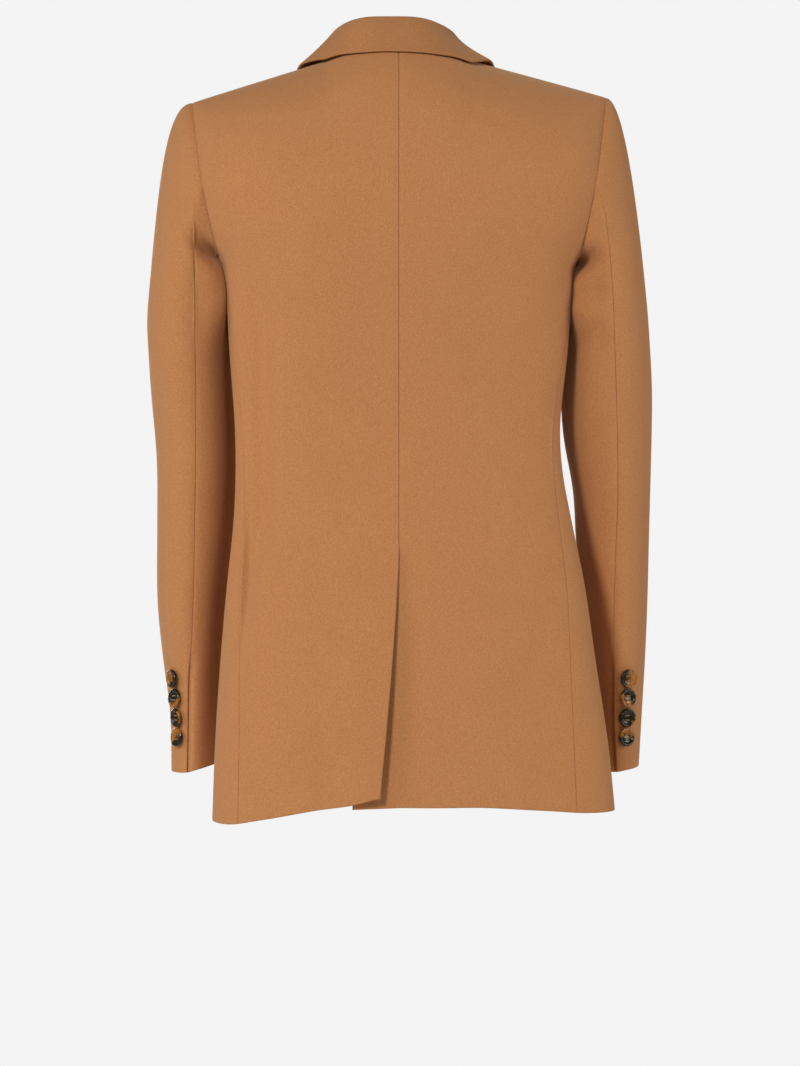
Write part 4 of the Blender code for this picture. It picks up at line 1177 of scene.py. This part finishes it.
def button_mesh(radius):
    """A rimmed button with four holes: its face looks along +Y, and its back lies at y = 0."""
    profile = rim_profile()
    profile[:, 0] = np.abs(profile[:, 0])
    turns = np.radians(np.arange(RING_SIDES) * 360 / RING_SIDES)
    face_rings = int(np.argmax(profile[:, 0]))
    points = []
    for i, (share, height) in enumerate(profile):
        ring = np.stack([np.cos(turns) * share, np.zeros(RING_SIDES) + height, np.sin(turns) * share], axis=1)
        ring *= (radius, BUTTON_THICK, radius)
        if i < face_rings:
            for x, z in hole_centres(radius):
                away = np.hypot(ring[:, 0] - x, ring[:, 2] - z) / (radius * HOLE_RADIUS)
                ring[:, 1] -= BUTTON_THICK * HOLE_DEPTH * np.clip((HOLE_BRIM - away) / HOLE_WALL, 0, 1)
        points.append(ring)
    points = np.concatenate([[(0, profile[0][1] * BUTTON_THICK, 0)], *points[1:-1], [(0, 0, 0)]])
    rings = len(profile) - 2
    faces = []
    for i in range(RING_SIDES):
        j = (i + 1) % RING_SIDES
        faces.append((0, 1 + i, 1 + j))
        for r in range(rings - 1):
            a = 1 + r * RING_SIDES
            faces.append((a + i, a + RING_SIDES + i, a + RING_SIDES + j, a + j))
        a = 1 + (rings - 1) * RING_SIDES
        faces.append((a + i, len(points) - 1, a + j))
    return points, faces


TUBE_START = (0.31, 0.87, 0.39)  # a direction that no thread runs in


def tube(path, radii, sides=8):
    """A closed tube along a path of points, with a radius at each."""
    path = np.array(path, float)
    along = np.gradient(path, axis=0)
    points, faces = [], []
    for centre, run, radius in zip(path, along, radii):
        run = unit(run)
        first = unit(np.cross(run, TUBE_START))
        second = np.cross(run, first)
        for i in range(sides):
            turn = 2 * math.pi * i / sides
            points.append(centre + radius * (math.cos(turn) * first + math.sin(turn) * second))
    for r in range(len(path) - 1):
        for i in range(sides):
            j = (i + 1) % sides
            a, b = r * sides, (r + 1) * sides
            faces.append((a + i, a + j, b + j, b + i))
    faces.append(tuple(range(sides - 1, -1, -1)))
    faces.append(tuple(range((len(path) - 1) * sides, len(path) * sides)))
    return points, faces


def joined(parts):
    """The points and faces of several meshes as those of one."""
    points, faces = [], []
    for some, shapes in parts:
        start = len(points)
        points += [tuple(p) for p in some]
        faces += [tuple(start + i for i in shape) for shape in shapes]
    return np.array(points), faces


STRAND = 0.34  # radius of a strand of thread
STRAND_POINTS = 15
STRAND_BESIDE = 0.272  # half the distance between the two strands of a bar
STRAND_HEIGHT = BUTTON_THICK * 0.56 + STRAND * 1.3
STRAND_DIVE = 1.5  # how far its ends go down into the holes, and from which share of its length
DIVE_FROM, DIVE_TO = 0.74, 1.15
STRAND_PAST = 0.5  # how far it reaches past the middles of the holes


def sewn_threads(radius):
    """Two bars of thread over the middle of a button, each two strands, from hole to hole."""
    at = radius * HOLE_AT
    parts = []
    for z in (-at, at):
        for beside in (-STRAND_BESIDE, STRAND_BESIDE):
            path = []
            for t in np.linspace(-1, 1, STRAND_POINTS):
                y = STRAND_HEIGHT - STRAND_DIVE * smooth(DIVE_FROM, DIVE_TO, abs(t))
                path.append((t * (at + STRAND_PAST), y, z + beside))
            parts.append(tube(path, [STRAND] * STRAND_POINTS))
    return joined(parts)


def frame_of(facing):
    """Axes of a button: across, facing and up."""
    facing = unit(facing)
    across = unit(np.cross(facing, (0, 0, 1)))
    return across, facing, np.cross(across, facing)


def set_in_place(made, centre, axes):
    """An object modelled round the origin is moved to its place."""
    turned = np.array(axes, float).T.tolist()
    rows = [row + [float(at) * MM] for row, at in zip(turned, centre)]
    made.matrix_world = Matrix(rows + [[0, 0, 0, 1]])


def sewn_button(name, radius, centre, facing, amber_turn, amber_share, tilt=(0, 0)):
    """A button and its thread. tilt is in degrees: first sideways, then forwards."""
    across, out, up = frame_of(facing)
    lean, nod = (math.tan(math.radians(t)) for t in tilt)
    axes = frame_of(out + across * lean + up * nod)
    points, faces = button_mesh(radius)
    made = mesh_object("seen_" + name, points, faces, horn("horn_" + name, amber_turn, amber_share))
    set_in_place(made, centre, axes)
    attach(made, "root")
    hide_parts(name)
    sewn = mesh_object("thread_" + name, *sewn_threads(radius), thread())
    set_in_place(sewn, centre, axes)
    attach(sewn, "root")


STITCH_HALF_WIDTH = 1.25
STITCH_FOOT, STITCH_RISE = 0.1, 0.55  # how high a stitch begins over the cloth, and how much higher it arches
# A stitch from side to side: shares of its half width, and its thread's radius there
STITCH_ARCH = ((-1, 0.16), (-0.6, 0.3), (0, 0.34), (0.6, 0.3), (1, 0.16))
STITCH_SIDES = 6


def buttonhole(name, path, out):
    """A worked buttonhole: a low ridge of close stitches along a path of points on the cloth."""
    parts = []
    for here, following in zip(path, path[1:]):
        over = np.cross(unit(following - here), out) * STITCH_HALF_WIDTH
        heights = [STITCH_FOOT + STITCH_RISE * math.cos(w * math.pi / 2) for w, _ in STITCH_ARCH]
        loop = [here + over * w + out * height for (w, _), height in zip(STITCH_ARCH, heights)]
        parts.append(tube(loop, [radius for _, radius in STITCH_ARCH], STITCH_SIDES))
    made = mesh_object(name, *joined(parts), thread())
    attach(made, "root")


# Cuff buttons from the top one down: the amber patch's turn and share, then how far the button leans
# sideways and nods forwards, in degrees
CUFF_BUTTON_LOOKS = {
    RIGHT: ((180, 0.30, 3, -4), (315, 0.12, -4, 3), (200, -0.25, 4, -3), (95, 0.22, -3, 4)),
    LEFT: ((20, 0.25, 3, -3), (250, 0.05, -3, 4), (170, -0.2, 3, -4), (60, 0.25, -2, 3)),
}
CUFF_HOLE_RUN = (-2, 14)  # from the button's middle outwards
CUFF_HOLE_RISE = 1.2  # how far above the button's middle the buttonhole lies
CUFF_HOLE_STITCHES = 26
MEASURE_TURN = 2  # degrees to either side, for measuring the sleeve's direction


def cuff_button(side, number, amber_turn, amber_share, tilt):
    word = SIDE_NAMES[side]
    z = CUFF_BUTTON_TOP_Z - CUFF_BUTTON_PITCH * (number - 1)
    turn = CUFF_BUTTON_ANGLE[side]
    along = sleeve_ring(side, turn + MEASURE_TURN, z) - sleeve_ring(side, turn - MEASURE_TURN, z)
    facing = unit(np.cross(along, (0, 0, 1)) * side) * (1, 1, 0)
    facing = facing if facing[1] > 0 else -facing
    middle = sleeve_ring(side, turn, z) + facing * BUTTON_LIFT
    name = f"cuff_button_{word}_{number}"
    sewn_button(name, CUFF_BUTTON_RADIUS, middle, facing, amber_turn, amber_share, tilt)
    per_degree = math.copysign(np.linalg.norm(along) / (2 * MEASURE_TURN), along[0] * side)
    runs = np.linspace(*CUFF_HOLE_RUN, CUFF_HOLE_STITCHES)
    path = [sleeve_ring(side, turn + run / per_degree, z + CUFF_HOLE_RISE) for run in runs]
    buttonhole(f"cuff_buttonhole_{word}_{number}", path, unit(facing))


def cuff_buttons():
    for side, looks in CUFF_BUTTON_LOOKS.items():
        for number, (amber_turn, amber_share, *tilt) in enumerate(looks, 1):
            cuff_button(side, number, amber_turn, amber_share, tilt)


# The same for the front buttons: the upper and the lower one of the wearer's left row and of the right one
FRONT_BUTTON_LOOKS = {
    "left": ((10, 0.1, 2, 2), (110, 0, -1, 2)),
    "right": ((130, 0.1, 2, 2), (230, 0, -1, 2)),
}
FRONT_HOLE_RUN = (-4, 17)
FRONT_HOLE_LIFT = 0.1  # off the cloth
FRONT_HOLE_STITCHES = 34
MEASURE_SPAN = 2  # to either side, for measuring the front's direction


def front_button(word, x, number, z, amber_turn, amber_share, tilt):
    here = front_point(RIGHT, x, z, BUTTON_LIFT)
    across = front_point(RIGHT, x + MEASURE_SPAN, z, 0) - front_point(RIGHT, x - MEASURE_SPAN, z, 0)
    along = front_point(RIGHT, x, z + MEASURE_SPAN, 0) - front_point(RIGHT, x, z - MEASURE_SPAN, 0)
    facing = unit(np.cross(across, along))
    facing = facing if facing[1] < 0 else -facing
    name = f"front_button_{word}_{number}"
    sewn_button(name, FRONT_BUTTON_RADIUS, here, facing, amber_turn, amber_share, tilt)
    if x < 0:
        runs = np.linspace(*FRONT_HOLE_RUN, FRONT_HOLE_STITCHES)
        path = [front_point(RIGHT, x - run, z, FRONT_HOLE_LIFT) for run in runs]
        buttonhole(f"front_buttonhole_{number}", path, facing)


def front_buttons():
    for word, x in (("left", -FRONT_BUTTON_X), ("right", FRONT_BUTTON_X)):
        for i, (amber_turn, amber_share, *tilt) in enumerate(FRONT_BUTTON_LOOKS[word]):
            front_button(word, x, i + 1, FRONT_BUTTON_HEIGHTS[i], amber_turn, amber_share, tilt)


# ---------------------------------------------------------------- the coat
CUFF_STEP = 4  # degrees by which the upper sleeve's free edge stands back from the seam at the cuff vent
CUFF_LAP = 13  # degrees by which the under sleeve reaches beneath it
CUFF_SINK = 2.9  # how far in it lies there
CUFF_TURN_HEIGHT = 8  # the height over which the seam opens into the vent
FOLD_X, FOLD_Y, FOLD_Z = 192, 30, -212  # the fold under the arm, and how far it spreads
FOLD_HEIGHT, FOLD_DEPTH = 34, 16
FOLD_BULGE, FOLD_EASE = 10, 10  # how far it bulges out, and how far in from FOLD_X it does so in full
TUCK_DEPTH, TUCK_WIDTH = 16, 13  # how far, and over what width, the under sleeve turns away beside the body
TUCK_TOP_Z, TUCK_EASE = -232, 40
TUCK_FOOT_Z, TUCK_FADE = -735, 120
TUCK_FACING = 3  # how soon it is complete where the cloth turns to face backwards
LAP_OUT = 9  # degrees past the seam over which the under sleeve comes out again from beneath the upper one
BEHIND_LAPELS_Y = 200  # a depth behind all that is folded back in front


def cuff_open(v):
    """How far the seam is open at a row: 1 in the cuff vent, 0 above it."""
    return 1 - smooth(CUFF_VENT_Z - CUFF_TURN_HEIGHT, CUFF_VENT_Z, sleeve_height(v))


def upper_seen(side):
    """The upper sleeve, from its front seam round the outside to the back seam."""

    def surface(u, v):
        last = back_seam_turn(side, v) - CUFF_STEP * cuff_open(v)
        return sleeve_point(side, lerp(FRONT_SEAM_TURN - 360, last, u), v)

    return surface


def under_seen(side):
    """The under sleeve, from the back seam round the inside; at the cuff it laps under the upper sleeve."""

    def surface(u, v):
        seam = back_seam_turn(side, v)
        turn = lerp(seam - CUFF_LAP * cuff_open(v), FRONT_SEAM_TURN, u)
        tuck = CUFF_SINK * cuff_open(v) * (1 - smooth(seam - CUFF_STEP, seam + LAP_OUT, turn))
        return sleeve_point(side, turn, v, tuck)

    return surface


def tucked(side):
    """The under sleeve turns away beside the body, and bulges back just below the armhole's foot."""

    def shift(points, normals, sewn_flat):
        height = points[..., 2]
        down = np.exp(-(((height - FOLD_Z) / FOLD_HEIGHT) ** 2))
        behind = np.exp(-(((points[..., 1] - FOLD_Y) / FOLD_DEPTH) ** 2))
        bulge = FOLD_BULGE * down * behind * np.clip((FOLD_X - side * points[..., 0]) / FOLD_EASE, 0, 1)
        gap = np.maximum(beyond_body(points, side), 0)
        low = np.clip((TUCK_TOP_Z - height) / TUCK_EASE, 0, 1)
        low *= np.clip((height - TUCK_FOOT_Z) / TUCK_FADE, 0, 1)
        tuck = TUCK_DEPTH * low * np.exp(-((gap / TUCK_WIDTH) ** 2))
        moved = normals * bulge[..., None]
        moved[..., 1] -= np.clip(normals[..., 1] * TUCK_FACING, 0, 1) * sewn_flat * tuck
        return moved

    return shift


def behind_front(point):
    """Behind the lapels, so that their outer face is the one turned forwards."""
    return np.array((point[0], BEHIND_LAPELS_Y, point[2]))


def build_coat():
    for side, word in SIDE_NAMES.items():
        back, side_body, front = (f"{part}_{word}" for part in ("back", "side", "front"))
        cloth_piece(f"seen_{back}", back_surface(side), back, body_axis, "azt")
        cloth_piece(f"seen_{side_body}", side_surface(side), side_body, body_axis, "azt", (back, front))
        cloth_piece(f"seen_{front}", front_surface(side), front, body_axis, "zt", (back,))
        lapel, revers = f"lapel_{word}", lapel_surface(side)
        cloth_piece(f"seen_{lapel}", revers, lapel, behind_front, "", (front,), "folded", TURNED_PITCH)
        upper, under, axis = f"sleeve_upper_{word}", f"sleeve_under_{word}", sleeve_axis(side)
        cloth_piece(f"seen_upper_{word}", upper_seen(side), upper, axis, "azb", (back, front))
        around = (back, side_body, front)
        cloth_piece(f"seen_under_{word}", under_seen(side), under, axis, "azb", around, shifted=tucked(side))
    # the collar's wool is darkened here as painted shade
    turned = {"hangs_from": ("collar_stand",), "held": "folded", "pitch": TURNED_PITCH, "painted_shade_factor": COLLAR_PAINTED_SHADE}
    cloth_piece("seen_collar_fall", fall_surface, "collar_fall", collar_axis, **turned)
    backs = ("back_left", "back_right")
    cloth_piece("seen_collar_stand", stand_surface, "collar_stand", neck_axis, "", backs, pitch=TURNED_PITCH)


# ---------------------------------------------------------------- stage, light and camera
CAMERA_AT = (-0.95, 5000, -440)
PLANE_Y = 50  # the plane of the coat's back, where the picture's scale is taken
PICTURE_HEIGHT = 1012.7
SENSOR = 36
FLOOR_Z = -1250
FLOOR_RADIUS, FLOOR_SIDES = 2300, 96
FLOOR_COLOUR = (0.8, 0.8, 0.8, 1)
PALE = (0.904, 0.904, 0.904, 1)
AMBIENT = 0.14  # the light from all round, as a share of what the background shows
LOOK_AT = (0, 0, -0.35)  # where the lights point: the middle of the coat
# The lights: name, place and size in metres, and watts
AREA_LIGHTS = (
    ("key", (1.8, 4.2, 1.2), 1.0, 133),
    ("fill", (-1.2, 4.3, 1.2), 1.1, 30),
    ("side_left", (3.6, 0.9, 0.3), 2.0, 45),
    ("side_right", (-3.6, 0.9, 0.3), 2.0, 55),
    ("front_fill", (0.6, -4.2, 0.2), 2.2, 130),
)


def add_floor():
    look = Nodes("pale_floor")
    look.fill(look.shader, {"Base Color": FLOOR_COLOUR, "Roughness": 0.9})
    turns = [2 * math.pi * i / FLOOR_SIDES for i in range(FLOOR_SIDES)]
    points = np.array([(FLOOR_RADIUS * math.cos(t), FLOOR_RADIUS * math.sin(t), FLOOR_Z) for t in turns])
    floor = mesh_object("floor", points, [tuple(range(FLOOR_SIDES))], look.material)


def add_area_light(name, at, size, watts):
    data = bpy.data.lights.new(name, "AREA")
    data.shape = "DISK"
    data.size = size
    data.energy = watts
    made = bpy.data.objects.new(name, data)
    made.location = at
    made.rotation_euler = (Vector(LOOK_AT) - Vector(at)).to_track_quat("-Z", "Y").to_euler()
    bpy.context.scene.collection.objects.link(made)


def add_light():
    world = bpy.data.worlds.new("studio")
    bpy.context.scene.world = world
    world.use_nodes = True
    tree = world.node_tree
    tree.nodes["Background"].inputs["Color"].default_value = PALE
    strength = tree.nodes.new("ShaderNodeMix")
    strength.inputs[2].default_value = AMBIENT
    strength.inputs[3].default_value = 1.0
    tree.links.new(tree.nodes.new("ShaderNodeLightPath").outputs["Is Camera Ray"], strength.inputs[0])
    tree.links.new(strength.outputs[0], tree.nodes["Background"].inputs["Strength"])
    for name, at, size, watts in AREA_LIGHTS:
        add_area_light(name, at, size, watts)


def add_camera():
    data = bpy.data.cameras.new("camera")
    data.sensor_width = SENSOR
    data.lens = SENSOR * (CAMERA_AT[1] - PLANE_Y) / PICTURE_HEIGHT
    data.dof.use_dof = False
    made = bpy.data.objects.new("camera", data)
    made.location = [c * MM for c in CAMERA_AT]
    made.rotation_euler = (math.radians(90), 0, math.radians(180))
    bpy.context.scene.collection.objects.link(made)
    bpy.context.scene.camera = made


build_coat()
cuff_buttons()
front_buttons()
add_floor()
add_light()
add_camera()
bpy.context.scene.view_settings.view_transform = "Standard"
